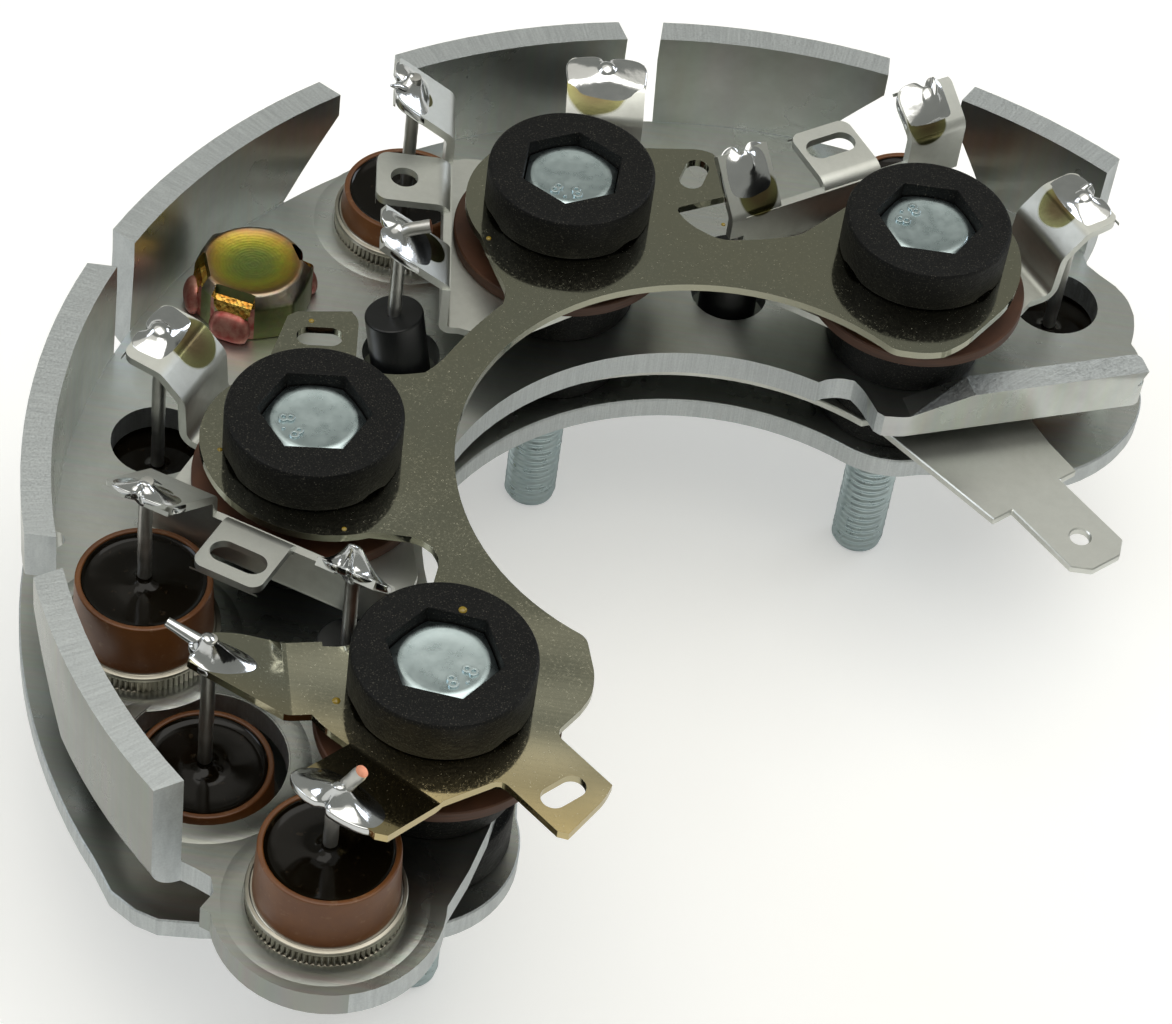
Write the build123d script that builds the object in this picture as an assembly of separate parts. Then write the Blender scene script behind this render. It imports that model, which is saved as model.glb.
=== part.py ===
from build123d import *
import math
import os

# Alternator rectifier: two aluminium heat sinks in the shape of a C, eight press-in diodes,
# three exciter diodes, phase terminals and a neutral ring, clamped by four M5 bolts.
# Millimetres. Origin: centre of the bolt circle, on the underside of the lower heat sink. +Z up.

os.makedirs("parts", exist_ok=True)

# Levels of the stack, from the seat upwards
LOWER_T = 2.2
UPPER_Z = 7.2
UPPER_T = 2.5
UPPER_TOP = UPPER_Z + UPPER_T
SHEET_T = 0.75
TERM_Z = 14.95
WASHER_Z = TERM_Z + SHEET_T
WASHER_T = 1.2
COLLAR_Z = WASHER_Z + WASHER_T
RING_Z = 19.55
RING_TOP = RING_Z + SHEET_T
CAP_TOP = 24.6
FIN_TOP = 20.0

# Clamp bolts
BOLT_R = 34.4
BOLT_ANGLES = [118.7, 63.0, 187.0, 234.5]
HEX_TURNS = [29.0, 1.0, 8.0, 54.5]
BOLT_D = 5.0
BOLT_HOLE = 5.5
HEAD_AF = 8.0
HEAD_Z = 20.15
HEAD_H = 3.5
BOLT_TIP = -18.0
BOLT_NECK_D = 4.4

# Insulators around the bolts
CAP_D = 15.0
CAP_AF = 8.3
SPIGOT_D = 9.0
SPIGOT_FLOOR = 18.35
SPACER_D = 14.2
WASHER_D = 20.0
FIT = 0.08

# Heat sinks
INNER_R = 24.5
ROOT_R = 55.9
FIN_T = 2.5
FIN_R = ROOT_R + FIN_T
LOWER_INNER_R = 25.8
LOWER_R = 58.7

# Press-in diodes
CUP_D = 12.8
CUP_RISE = 1.7
SLEEVE_D = 11.7
SLEEVE_TOP_D = 11.3
POT_D = 10.4
RIM_RISE = 6.9
POT_DROP = 0.3
LEAD_D = 1.25
SHORT_RISE = 4.2
NEUTRAL_HOLE = 13.6
LEAD_HOLE = 8.2

# Exciter strip and its diodes
STRIP_Z = 4.2
STRIP_T = 0.8
EX_D = 5.3
EX_H = 8.4
EX_Z = 6.0
EX_HOLE = 7.0


def polar(radius, degrees):
    return (radius * math.cos(math.radians(degrees)), radius * math.sin(math.radians(degrees)))


def at(point, z=0.0):
    return Location((point[0], point[1], z))


def tube(point, outer, inner, z0, z1):
    body = Cylinder(outer / 2, z1 - z0, align=(Align.CENTER, Align.CENTER, Align.MIN))
    if inner > 0:
        body -= Cylinder(inner / 2, z1 - z0, align=(Align.CENTER, Align.CENTER, Align.MIN))
    return at(point, z0) * body


def prism(outline, z0, z1):
    return Pos(0, 0, z0) * extrude(make_face(outline), amount=z1 - z0)


def single(shape):
    solids = shape.solids()
    return solids.sort_by(SortBy.VOLUME)[-1]


def save(name, *solids):
    shape = solids[0] if len(solids) == 1 else Compound(children=list(solids))
    export_step(shape, "parts/" + name + ".step")


BOLTS = [polar(BOLT_R, a) for a in BOLT_ANGLES]

# Centres of the press-in diodes: upper heat sink, then lower heat sink
UPPER_DIODES = [(-26.4, -42.4), (-45.6, -18.2), (-31.6, 35.7), polar(48.0, 72.0)]
UPPER_LEADS = [26.6, 28.6, 27.6, 26.6]
UPPER_RISE = [RIM_RISE, RIM_RISE, SHORT_RISE, SHORT_RISE]
NEUTRAL_DIODE = (-38.2, -30.3)
LOWER_DIODES = [(-48.5, 3.6), polar(48.3, 108.0), (29.6, 38.2)]
LOWER_LEADS = [24.2, 23.6, 24.2]
NEUTRAL_LEAD = 25.4

STUD = (-43.6, 22.6)

# Exciter diodes: foot and top of each leaning body
EXCITERS = [((-28.9, 18.6), (-30.3, 19.0)), ((-0.7, 32.1), (-0.8, 34.4)), ((-28.3, -19.2), (-28.4, -19.9))]


# Upper heat sink, the positive plate
def fin(top_from, top_to, root_from, root_to, knee_from=17.5, knee_to=17.5):
    # Rounded L section turned about the axis, then trimmed to its side profile
    bend = 2.6
    section = Polyline(
        (ROOT_R - 0.5, UPPER_Z), (FIN_R - bend, UPPER_Z), (FIN_R, UPPER_Z + bend),
        (FIN_R, FIN_TOP), (ROOT_R, FIN_TOP), (ROOT_R, UPPER_TOP), (ROOT_R - 0.5, UPPER_TOP), close=True)
    face = Plane.XZ * make_face(section)
    corner = Plane.XZ * Pos(FIN_R - bend, UPPER_Z + bend) * Circle(bend)
    square = Plane.XZ * Pos(FIN_R - bend / 2, UPPER_Z + bend / 2) * Rectangle(bend, bend)
    face = face + (corner & square)
    low = min(top_from, root_from)
    high = max(top_to, root_to)
    wall = Rot(0, 0, low - 1) * revolve(face, Axis.Z, high - low + 2)
    middle = (low + high) / 2

    def across(angle, radius=FIN_R):
        return radius * math.sin(math.radians(angle - middle))

    side = Polyline(
        (across(root_from), UPPER_Z - 1), (across(root_from), UPPER_TOP), (across(top_from), knee_from),
        (across(top_from), FIN_TOP + 1), (across(top_to), FIN_TOP + 1), (across(top_to), knee_to),
        (across(root_to), UPPER_TOP), (across(root_to), UPPER_Z - 1), close=True)
    radial = Plane(origin=(0, 0, 0), x_dir=polar(1, middle + 90) + (0,), z_dir=polar(1, middle) + (0,))
    cutter = radial * extrude(make_face(side), amount=70)
    return wall & cutter


FINS = [
    (203.0, 226.4, 211.0, 226.4, 16.5, 17.5),
    (166.5, 198.3, 167.0, 189.0, 17.5, 15.0),
    (134.5, 161.8, 140.5, 162.4, 17.5, 17.5),
    (104.5, 126.4, 104.5, 120.5, 17.5, 17.5),
    (78.8, 100.3, 85.0, 99.9, 17.5, 17.5),
    (55.0, 70.4, 55.0, 66.2, 17.5, 16.7),
]
LIP_ANGLE = 22.0
LIP_T = 2.4
LIP_TOP = 11.45
LIP_START = (16.4, 20.2)
LIP_LENGTH = 23.6


def upper_heat_sink():
    lip = polar(1, LIP_ANGLE)
    lip_end = (LIP_START[0] + lip[0] * LIP_LENGTH, LIP_START[1] + lip[1] * LIP_LENGTH)
    lobe = (-26.2, -42.1)
    lobe_r = 9.4
    outline = [
        ThreePointArc(polar(INNER_R, 70), polar(INNER_R, 150), polar(INNER_R, 238)),
        Polyline(polar(INNER_R, 238), (-14.6, -33.0), (-15.6, -37.4),
                 (lobe[0] + lobe_r * 0.996, lobe[1] + lobe_r * 0.087)),
        ThreePointArc((lobe[0] + lobe_r * 0.996, lobe[1] + lobe_r * 0.087), (lobe[0], lobe[1] - lobe_r),
                      (lobe[0] - lobe_r * 0.9397, lobe[1] - lobe_r * 0.342)),
        Polyline((lobe[0] - lobe_r * 0.9397, lobe[1] - lobe_r * 0.342), (-35.9, -45.0), (-35.1, -43.3),
                 (-35.6, -41.9), (-36.9, -41.3), polar(ROOT_R, 226.9)),
        ThreePointArc(polar(ROOT_R, 226.9), polar(ROOT_R, 140), polar(ROOT_R, 55)),
        Polyline(polar(ROOT_R, 55), (32.6, 44.0), (33.8, 42.9), (35.3, 41.7), (36.5, 40.2), (37.1, 38.1),
                 (37.2, 36.2), (36.9, 34.2), (37.6, 33.0), (37.7, 31.4), lip_end),
        Polyline(lip_end, LIP_START, (14.6, 20.0), (13.9, 20.4), (13.3, 21.5), (12.5, 22.9),
                 (11.6, 23.9), (10.4, 24.0), (9.0, 23.5), polar(INNER_R, 70)),
    ]
    plate = prism(outline, UPPER_Z, UPPER_TOP)
    for values in FINS:
        plate += fin(*values)

    # Low lip along the open end, its start sloping down to the plate
    length = LIP_LENGTH
    rise = LIP_TOP - UPPER_Z
    section = Polyline((0, 0), (length, 0), (length, rise), (6.5, rise), (0.6, UPPER_T), (0, UPPER_T), close=True)
    wall = Plane(origin=(LIP_START[0], LIP_START[1], UPPER_Z), x_dir=(lip[0], lip[1], 0),
                 z_dir=(lip[1], -lip[0], 0)) * extrude(make_face(section), amount=-LIP_T)
    plate += wall

    for centre in UPPER_DIODES:
        plate -= tube(centre, CUP_D, 0, UPPER_Z, UPPER_TOP)
    plate -= tube(NEUTRAL_DIODE, NEUTRAL_HOLE, 0, UPPER_Z, UPPER_TOP)
    for centre in LOWER_DIODES:
        plate -= tube(centre, LEAD_HOLE, 0, UPPER_Z, UPPER_TOP)
    for centre in BOLTS:
        plate -= tube(centre, SPIGOT_D + 2 * FIT, 0, UPPER_Z, UPPER_TOP)
    for foot, top in EXCITERS:
        share = (UPPER_Z + UPPER_T / 2 - EX_Z) / EX_H
        middle = (foot[0] + (top[0] - foot[0]) * share, foot[1] + (top[1] - foot[1]) * share)
        plate -= tube(middle, EX_HOLE, 0, UPPER_Z, UPPER_TOP)
    plate -= tube(STUD, STUD_SHANK_D, 0, UPPER_Z, UPPER_TOP)
    plate -= tube(polar(ROOT_R - 0.2, 189.8), 1.8, 0, UPPER_Z - 1, UPPER_TOP + 4)
    return single(plate)


# Lower heat sink, the negative plate that sits on the alternator
def lower_heat_sink():
    outline = [
        ThreePointArc(polar(LOWER_INNER_R, 61), polar(LOWER_INNER_R, 150), polar(LOWER_INNER_R, 240)),
        Polyline(polar(LOWER_INNER_R, 240), (-12.6, -25.6)),
        ThreePointArc((-12.6, -25.6), (-12.9, -33.2), (-18.4, -38.0)),
        Polyline((-18.4, -38.0), (-36.4, -41.1), (-39.8, -41.4), (-41.8, -40.8), (-44.1, -39.3),
                 polar(LOWER_R, 218.5)),
        ThreePointArc(polar(LOWER_R, 218.5), polar(LOWER_R, 140), polar(LOWER_R, 56)),
        Polyline(polar(LOWER_R, 56), (36.6, 42.6), (38.6, 39.0), (39.5, 35.4), (39.3, 32.7), (38.4, 30.3),
                 (37.0, 27.9), (35.6, 26.3), (34.3, 25.1), (32.7, 23.9), (27.0, 23.2), (20.2, 23.0),
                 (17.1, 21.9), (14.6, 21.9), polar(LOWER_INNER_R, 61)),
    ]
    plate = prism(outline, 0, LOWER_T)
    for centre in [NEUTRAL_DIODE] + LOWER_DIODES:
        plate -= tube(centre, CUP_D, 0, 0, LOWER_T)
    for centre in BOLTS:
        plate -= tube(centre, BOLT_HOLE, 0, 0, LOWER_T)
    plate -= tube(STUD, BUSH_D + 2 * FIT, 0, 0, LOWER_T)
    return single(plate)


# Sheet-metal strap: a bent profile in the n-z plane, spread over a range of t
def strap(points, bend, t_from, t_to):
    half = SHEET_T / 2

    def normal(a, b):
        length = math.hypot(b[0] - a[0], b[1] - a[1])
        return (-(b[1] - a[1]) / length, (b[0] - a[0]) / length)

    left = []
    right = []
    for i, point in enumerate(points):
        if i == 0:
            n = normal(points[0], points[1])
            k = 1.0
        elif i == len(points) - 1:
            n = normal(points[-2], points[-1])
            k = 1.0
        else:
            n1 = normal(points[i - 1], point)
            n2 = normal(point, points[i + 1])
            n = (n1[0] + n2[0], n1[1] + n2[1])
            size = math.hypot(*n)
            n = (n[0] / size, n[1] / size)
            k = 1.0 / (n[0] * n1[0] + n[1] * n1[1])
        left.append((point[0] + n[0] * k * half, point[1] + n[1] * k * half))
        right.append((point[0] - n[0] * k * half, point[1] - n[1] * k * half))
    face = make_face(Polyline(*(left + right[::-1]), close=True))
    for i in range(1, len(points) - 1):
        a = normal(points[i - 1], points[i])
        b = normal(points[i], points[i + 1])
        turn_left = a[0] * b[1] - a[1] * b[0] > 0
        inner, outer = (left[i], right[i]) if turn_left else (right[i], left[i])
        corner = face.vertices().sort_by_distance((inner[0], inner[1], 0))[0]
        face = fillet(corner, bend)
        corner = face.vertices().sort_by_distance((outer[0], outer[1], 0))[0]
        face = fillet(corner, bend + SHEET_T)
    # Profile x is n, profile y is z, and the extrusion runs along t
    upright = Plane(origin=(0, t_from, 0), x_dir=(1, 0, 0), z_dir=(0, -1, 0))
    return upright * extrude(face, amount=-(t_to - t_from))


# One phase terminal about its bolt: n points away from the bolt to the upright wall, t runs along it
TERM_ANGLES = [187.0, 126.0, 251.0]
WALL_N = 10.75
WALL_TOP = 20.2
WALL_BEND = 0.3
FOOT_MID = TERM_Z + SHEET_T / 2
# Heights of the soldered tabs of terminals b, c and a
TAB_UP = [25.6, 24.6, 26.6]
TAB_EX = [23.4, 23.4, 23.4]
TAB_LOW = 22.4
TAB_SLOPE = 0.75
UP_HALF = 3.0
LOW_HALF = 3.6
EX_HALF = 2.6
# Ears: where their middles lie along the wall, and their size
EAR_T = [-0.9, 0.6, 1.1]
EAR_W = 6.2
EAR_N = 6.5


def notch(shape, n, t, outward):
    cut = Box(5, LEAD_D + 0.5, 12, align=(Align.MIN, Align.CENTER, Align.CENTER))
    cut += Cylinder(LEAD_D / 2 + 0.25, 12)
    return shape - Pos(n, t, 24) * Rot(0, 0, outward) * cut


def round_corner(shape, n, t, side_n, side_t, size):
    cut = Pos(n - side_n * size / 2, t - side_t * size / 2, 24) * Box(size * 1.02, size * 1.02, 10)
    cut -= Pos(n - side_n * size, t - side_t * size, 24) * Cylinder(size, 10)
    return shape - cut


def phase_terminal(index):
    centre = BOLTS[index]
    turn = TERM_ANGLES[index]

    def local(point):
        dx = point[0] - centre[0]
        dy = point[1] - centre[1]
        c = math.cos(math.radians(turn))
        s = math.sin(math.radians(turn))
        return (dx * c + dy * s, -dx * s + dy * c)

    lead_up = local([UPPER_DIODES[2], UPPER_DIODES[3], UPPER_DIODES[1]][index])
    lead_low = local([LOWER_DIODES[1], LOWER_DIODES[2], LOWER_DIODES[0]][index])
    lead_ex = local(EXCITERS[index][1])

    outline = Polyline((-5.5, -9.6), (1.0, -10.0), (WALL_N - 1.4, -10.0), (WALL_N - 1.4, 12.2),
                       (6.6, 13.0), (4.6, 12.6), (-5.0, 6.4), (-8.2, 1.5), (-8.2, -4.0), close=True)
    sheet = Pos(0, 0, TERM_Z) * extrude(make_face(outline), amount=SHEET_T)
    wall = [(WALL_N - 3.0, FOOT_MID), (WALL_N, FOOT_MID), (WALL_N, WALL_TOP)]
    sheet += strap(wall, WALL_BEND, -9.8, 12.2)

    # Finger to the upper diode, slotted ear, finger to the exciter diode
    up_z = TAB_UP[index]
    up_tip = lead_up[0] + 1.7
    sheet += strap([(WALL_N, 18.0), (WALL_N, up_z - (lead_up[0] - WALL_N) * TAB_SLOPE), (up_tip, up_z + 1.7 * TAB_SLOPE)],
                   0.8, lead_up[1] - UP_HALF, lead_up[1] + UP_HALF)
    ear_from = EAR_T[index] - EAR_W / 2
    ear_to = EAR_T[index] + EAR_W / 2
    ear_end = WALL_N + EAR_N
    sheet += strap([(WALL_N, 18.0), (WALL_N, WALL_TOP + 0.4), (ear_end, WALL_TOP + 0.8)], 0.8, ear_from, ear_to)
    ex_z = TAB_EX[index]
    reach = max(lead_ex[0], WALL_N + 2.2)
    ex_tip = reach + 1.6
    ex_slope = (ex_z - WALL_TOP) / (reach - WALL_N)
    ex_from = max(ear_to + 0.4, lead_ex[1] - EX_HALF)
    ex_to = max(lead_ex[1] + EX_HALF, ex_from + 4.6)
    sheet += strap([(WALL_N, 18.0), (WALL_N, WALL_TOP), (ex_tip, ex_z + 1.6 * min(ex_slope, TAB_SLOPE))],
                   0.6, ex_from, ex_to)

    # Finger to the lower diode on the other side of the bolt
    low_tip = -lead_low[1] + 1.7
    side = strap([(6.0, FOOT_MID), (11.7, FOOT_MID), (12.0, WALL_TOP - 0.4), (14.2, TAB_LOW - 0.5), (low_tip, TAB_LOW)],
                 0.85, lead_low[0] - LOW_HALF, lead_low[0] + LOW_HALF)
    sheet += Rot(0, 0, -90) * side
    for side_t in (-1, 1):
        sheet = round_corner(sheet, up_tip, lead_up[1] + side_t * UP_HALF, 1, side_t, 0.8)
        sheet = round_corner(sheet, ear_end, EAR_T[index] + side_t * EAR_W / 2, 1, side_t, 1.1)
        sheet = round_corner(sheet, lead_low[0] + side_t * LOW_HALF, -low_tip, side_t, -1, 1.0)

    slot_at = Pos(WALL_N + 4.0, EAR_T[index], 22)
    slot = slot_at * Rot(0, 0, 90) * extrude(SlotCenterToCenter(2.6, 2.4), amount=8, both=True)
    if index == 0:
        slot = slot_at * Cylinder(1.25, 8)
    sheet -= slot
    sheet -= Pos(0, 0, TERM_Z - 1) * Cylinder(SPIGOT_D / 2 + FIT, 6)
    sheet = notch(sheet, lead_up[0], lead_up[1], 0)
    sheet = notch(sheet, lead_low[0], lead_low[1], -90)
    sheet = notch(sheet, lead_ex[0], lead_ex[1], 0)
    return single(Pos(centre[0], centre[1], 0) * Rot(0, 0, turn) * sheet)


# Neutral ring on top of the stack, with two soldered fingers and three slotted ears
def neutral_ring():
    inner = 22.5
    outline = [
        ThreePointArc(polar(inner, 52), polar(inner, 150), polar(inner, 246)),
        Polyline(polar(inner, 246), (-8.1, -24.2), (-8.0, -26.4), (-8.8, -28.2), (-10.5, -30.9), (-5.5, -35.2),
                 (-5.9, -36.6), (-8.3, -40.6), (-9.2, -40.5), (-14.1, -36.3), (-19.0, -39.8), (-20.2, -39.2),
                 (-28.4, -33.8), (-31.0, -31.4), (-33.8, -26.2), (-28.0, -25.4), (-24.6, -22.4),
                 (-22.2, -18.6), (-21.9, -14.7), (-22.7, -13.5), (-24.0, -12.6), (-28.0, -12.8)),
        ThreePointArc((-28.0, -12.8), (-36.5, -13.4), (-43.0, -7.0)),
        ThreePointArc((-43.0, -7.0), (-43.4, -1.5), (-39.6, 3.6)),
        Polyline((-39.6, 3.6), (-38.7, 10.6), (-38.0, 11.3), (-33.4, 12.3), (-32.6, 11.4), (-32.0, 5.4), (-28.6, 5.4),
                 (-26.1, 6.3), (-25.0, 7.8), (-23.0, 12.2), (-20.6, 16.1), (-20.5, 17.7), (-23.7, 24.3)),
        ThreePointArc((-23.7, 24.3), (-25.6, 31.4), (-20.6, 38.4)),
        Polyline((-20.6, 38.4), (-12.4, 38.6), (-5.4, 40.0), (-4.2, 39.7), (-3.5, 38.9), (-2.9, 35.6), (-2.1, 34.4),
                 (-6.9, 31.6), (-5.4, 29.7), (-2.5, 28.3), (1.0, 29.1), (4.6, 30.5), (8.6, 35.4)),
        ThreePointArc((8.6, 35.4), (17.2, 39.6), (24.3, 33.6)),
        ThreePointArc((24.3, 33.6), (24.6, 29.0), (23.0, 24.5)),
        Polyline((23.0, 24.5), (20.0, 19.9), (18.3, 18.4), (16.5, 17.8), polar(inner, 52)),
    ]
    ring = prism(outline, RING_Z, RING_TOP)
    for centre in BOLTS:
        ring -= tube(centre, SPIGOT_D + 2 * FIT, 0, RING_Z - 1, RING_TOP + 1)

    # Slots in the ears
    for centre, angle in [((-35.6, 8.7), 8), ((-5.6, 36.5), 78), ((-9.2, -36.6), 45)]:
        hole = Pos(centre[0], centre[1], RING_Z - 1) * Rot(0, 0, angle) * extrude(SlotCenterToCenter(1.8, 2.2), amount=4)
        ring -= hole

    # Fingers rising to the leads of the neutral pair, each trimmed to its own outline
    fingers = [
        (NEUTRAL_DIODE, (-31.2, -28.6), [(-2.0, -3.0), (5.4, -3.0), (8.4, -1.7), (9.0, 1.1), (1.6, 4.4), (-2.0, 4.4)]),
        (UPPER_DIODES[0], (-22.6, -36.0), [(-1.2, -3.6), (8.6, -3.6), (8.2, 4.6), (7.6, 5.4), (-1.2, 5.4)]),
    ]
    mid = RING_Z + SHEET_T / 2
    for lead, root, edge in fingers:
        heading = math.degrees(math.atan2(lead[1] - root[1], lead[0] - root[0]))
        reach = math.hypot(lead[0] - root[0], lead[1] - root[1])
        finger = strap([(-2.0, mid), (1.2, mid), (reach + 1.8, mid + 3.1)], 1.2, -4.0, 6.0)
        finger = finger & prism([Polyline(*edge, close=True)], RING_Z - 2, RING_TOP + 6)
        cut = Box(6, LEAD_D + 0.5, 12, align=(Align.MIN, Align.CENTER, Align.CENTER))
        cut += Cylinder(LEAD_D / 2 + 0.25, 12)
        finger -= Pos(reach, 0, mid + 2) * cut
        ring += Pos(root[0], root[1], 0) * Rot(0, 0, heading) * finger
    return single(ring)


# Exciter strip between the heat sinks, ending in a 6.3 mm blade
def exciter_strip():
    inner = 27.0
    outer = 37.6
    blade_w = 6.3
    turn = -47.1
    root = (29.45, 17.65)
    band = [
        ThreePointArc(polar(inner, 61), polar(inner, 140), polar(inner, 222)),
        Polyline(polar(inner, 222), polar(outer, 222)),
        ThreePointArc(polar(outer, 222), polar(outer, 140), polar(outer, 50)),
        Polyline(polar(outer, 50), polar(inner, 61)),
    ]
    strip = prism(band, STRIP_Z, STRIP_Z + STRIP_T)
    half = blade_w / 2
    blade = Polyline((-17.6, -7.4), (0.2, -5.4), (0.2, -half), (8.2, -half), (9.5, -half + 1.5),
                     (9.5, half - 1.5), (8.2, half), (-0.4, half), (-0.4, 5.2), (-4.6, 5.4), (-17.6, 7.4), close=True)
    tab = Pos(root[0], root[1], STRIP_Z) * Rot(0, 0, turn) * extrude(make_face(blade), amount=STRIP_T)
    strip += tab
    strip -= Pos(root[0], root[1], STRIP_Z) * Rot(0, 0, turn) * Pos(5.9, 0, 0) * Cylinder(0.95, 4)
    for centre in BOLTS[:3]:
        strip -= tube(centre, SPIGOT_D + 2 * FIT, 0, STRIP_Z - 1, STRIP_Z + STRIP_T + 1)
    for foot, top in EXCITERS:
        strip -= tube(foot, 1.7, 0, STRIP_Z - 1, STRIP_Z + STRIP_T + 1)
    return single(strip)


# Black cap with a hexagonal recess for the bolt head
def cap(centre, turn):
    body = tube(centre, CAP_D, 0, RING_TOP, CAP_TOP)
    body += tube(centre, SPIGOT_D, 0, SPIGOT_FLOOR, RING_TOP)
    body -= tube(centre, BOLT_HOLE, 0, SPIGOT_FLOOR, CAP_TOP)
    recess = extrude(RegularPolygon(CAP_AF / 2, 6, major_radius=False), amount=CAP_TOP - HEAD_Z)
    body -= at(centre, HEAD_Z) * Rot(0, 0, turn) * recess
    return single(body)


def collar(centre):
    body = tube(centre, 13.0, 0, COLLAR_Z, RING_Z)
    body -= tube(centre, BOLT_HOLE, 0, COLLAR_Z, RING_Z)
    body -= tube(centre, SPIGOT_D + 2 * FIT, 0, SPIGOT_FLOOR, RING_Z)
    return single(body)


def upper_spacer(centre, top):
    body = tube(centre, SPACER_D, 0, UPPER_TOP, top)
    body += tube(centre, SPIGOT_D, 0, top, COLLAR_Z)
    body -= tube(centre, BOLT_HOLE, 0, UPPER_TOP, COLLAR_Z)
    return single(body)


def lower_spacer(centre, bottom):
    body = tube(centre, SPACER_D, 0, bottom, UPPER_Z)
    body += tube(centre, SPIGOT_D, 0, UPPER_Z, UPPER_TOP)
    if bottom > LOWER_T:
        body += tube(centre, SPIGOT_D, 0, STRIP_Z, bottom)
    body -= tube(centre, BOLT_HOLE, 0, STRIP_Z - 3, UPPER_TOP)
    return single(body)


# Hexagon bolt, M5, with chamfered tip
def clamp_bolt(centre, turn):
    shank = Cylinder(BOLT_D / 2, -BOLT_TIP, align=(Align.CENTER, Align.CENTER, Align.MIN))
    shank = chamfer(shank.edges().sort_by(Axis.Z)[0], 0.7)
    body = at(centre, BOLT_TIP) * shank
    body += tube(centre, BOLT_NECK_D, 0, 0, HEAD_Z)
    head = extrude(RegularPolygon(HEAD_AF / 2, 6, major_radius=False), amount=HEAD_H)
    dome = Cone(HEAD_AF * 0.475 + HEAD_H * 1.6, HEAD_AF * 0.475, HEAD_H, align=(Align.CENTER, Align.CENTER, Align.MIN))
    head = head & dome
    body += at(centre, HEAD_Z) * Rot(0, 0, turn) * head
    return single(body)


# Output stud: staked hexagon head over a threaded M6 shank
STUD_SHANK_D = 6.6
STUD_THREAD_D = 6.0
BUSH_Z = -1.6
STUD_FLANGE_D = 11.8
STUD_AF = 10.0
STUD_TIP = -14.0
BUSH_D = 9.0


def battery_stud():
    body = tube(STUD, STUD_THREAD_D, 0, STUD_TIP, BUSH_Z)
    body = chamfer(body.edges().sort_by(Axis.Z)[0], 0.8)
    body += tube(STUD, STUD_SHANK_D, 0, BUSH_Z, UPPER_TOP)
    body += tube(STUD, STUD_FLANGE_D, 0, UPPER_TOP, UPPER_TOP + 1.1)
    hexagon = extrude(RegularPolygon(STUD_AF / 2, 6, major_radius=False), amount=3.9)
    hexagon -= Pos(0, 0, 3.6) * Cylinder(3.9, 1, align=(Align.CENTER, Align.CENTER, Align.MIN))
    body += at(STUD, UPPER_TOP + 1.1) * Rot(0, 0, 20) * hexagon
    return single(body)


def battery_bush():
    body = tube(STUD, BUSH_D, 0, BUSH_Z, UPPER_Z)
    body += tube(STUD, 13.0, 0, LOWER_T, UPPER_Z)
    body -= tube(STUD, STUD_SHANK_D + 0.2, 0, BUSH_Z, UPPER_Z)
    return single(body)


# Press-in diode: knurled cup, insulating sleeve, potting and lead
def diode(centre, plate_z, plate_t, rim, lead_top):
    cup_top = plate_z + plate_t + CUP_RISE
    cup = tube(centre, CUP_D, 0, plate_z, cup_top)
    cup = chamfer(cup.edges().sort_by(Axis.Z)[-1], 0.3)
    pot_top = rim - POT_DROP
    taper = Cone(SLEEVE_D / 2, SLEEVE_TOP_D / 2, rim - cup_top, align=(Align.CENTER, Align.CENTER, Align.MIN))
    sleeve = at(centre, cup_top) * taper - tube(centre, POT_D, 0, cup_top, rim)
    potting = tube(centre, POT_D - 0.02, 0, cup_top, pot_top)
    lead = tube(centre, LEAD_D, 0, pot_top, lead_top)
    return single(cup), single(sleeve), single(potting), single(lead)


def exciter_diode(foot, top):
    low = Vector(foot[0], foot[1], EX_Z)
    high = Vector(top[0], top[1], EX_Z + EX_H)
    axis = (high - low).normalized()
    high = low + axis * EX_H
    body = Plane(origin=low, z_dir=axis) * Cylinder(EX_D / 2, EX_H, align=(Align.CENTER, Align.CENTER, Align.MIN))
    return single(body), low, high, axis


def wire(points):
    path = FilletPolyline(*points, radius=1.1)
    start = Plane(origin=path @ 0, z_dir=path % 0)
    return single(sweep(start * Circle(LEAD_D / 2), path=path))


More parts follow.
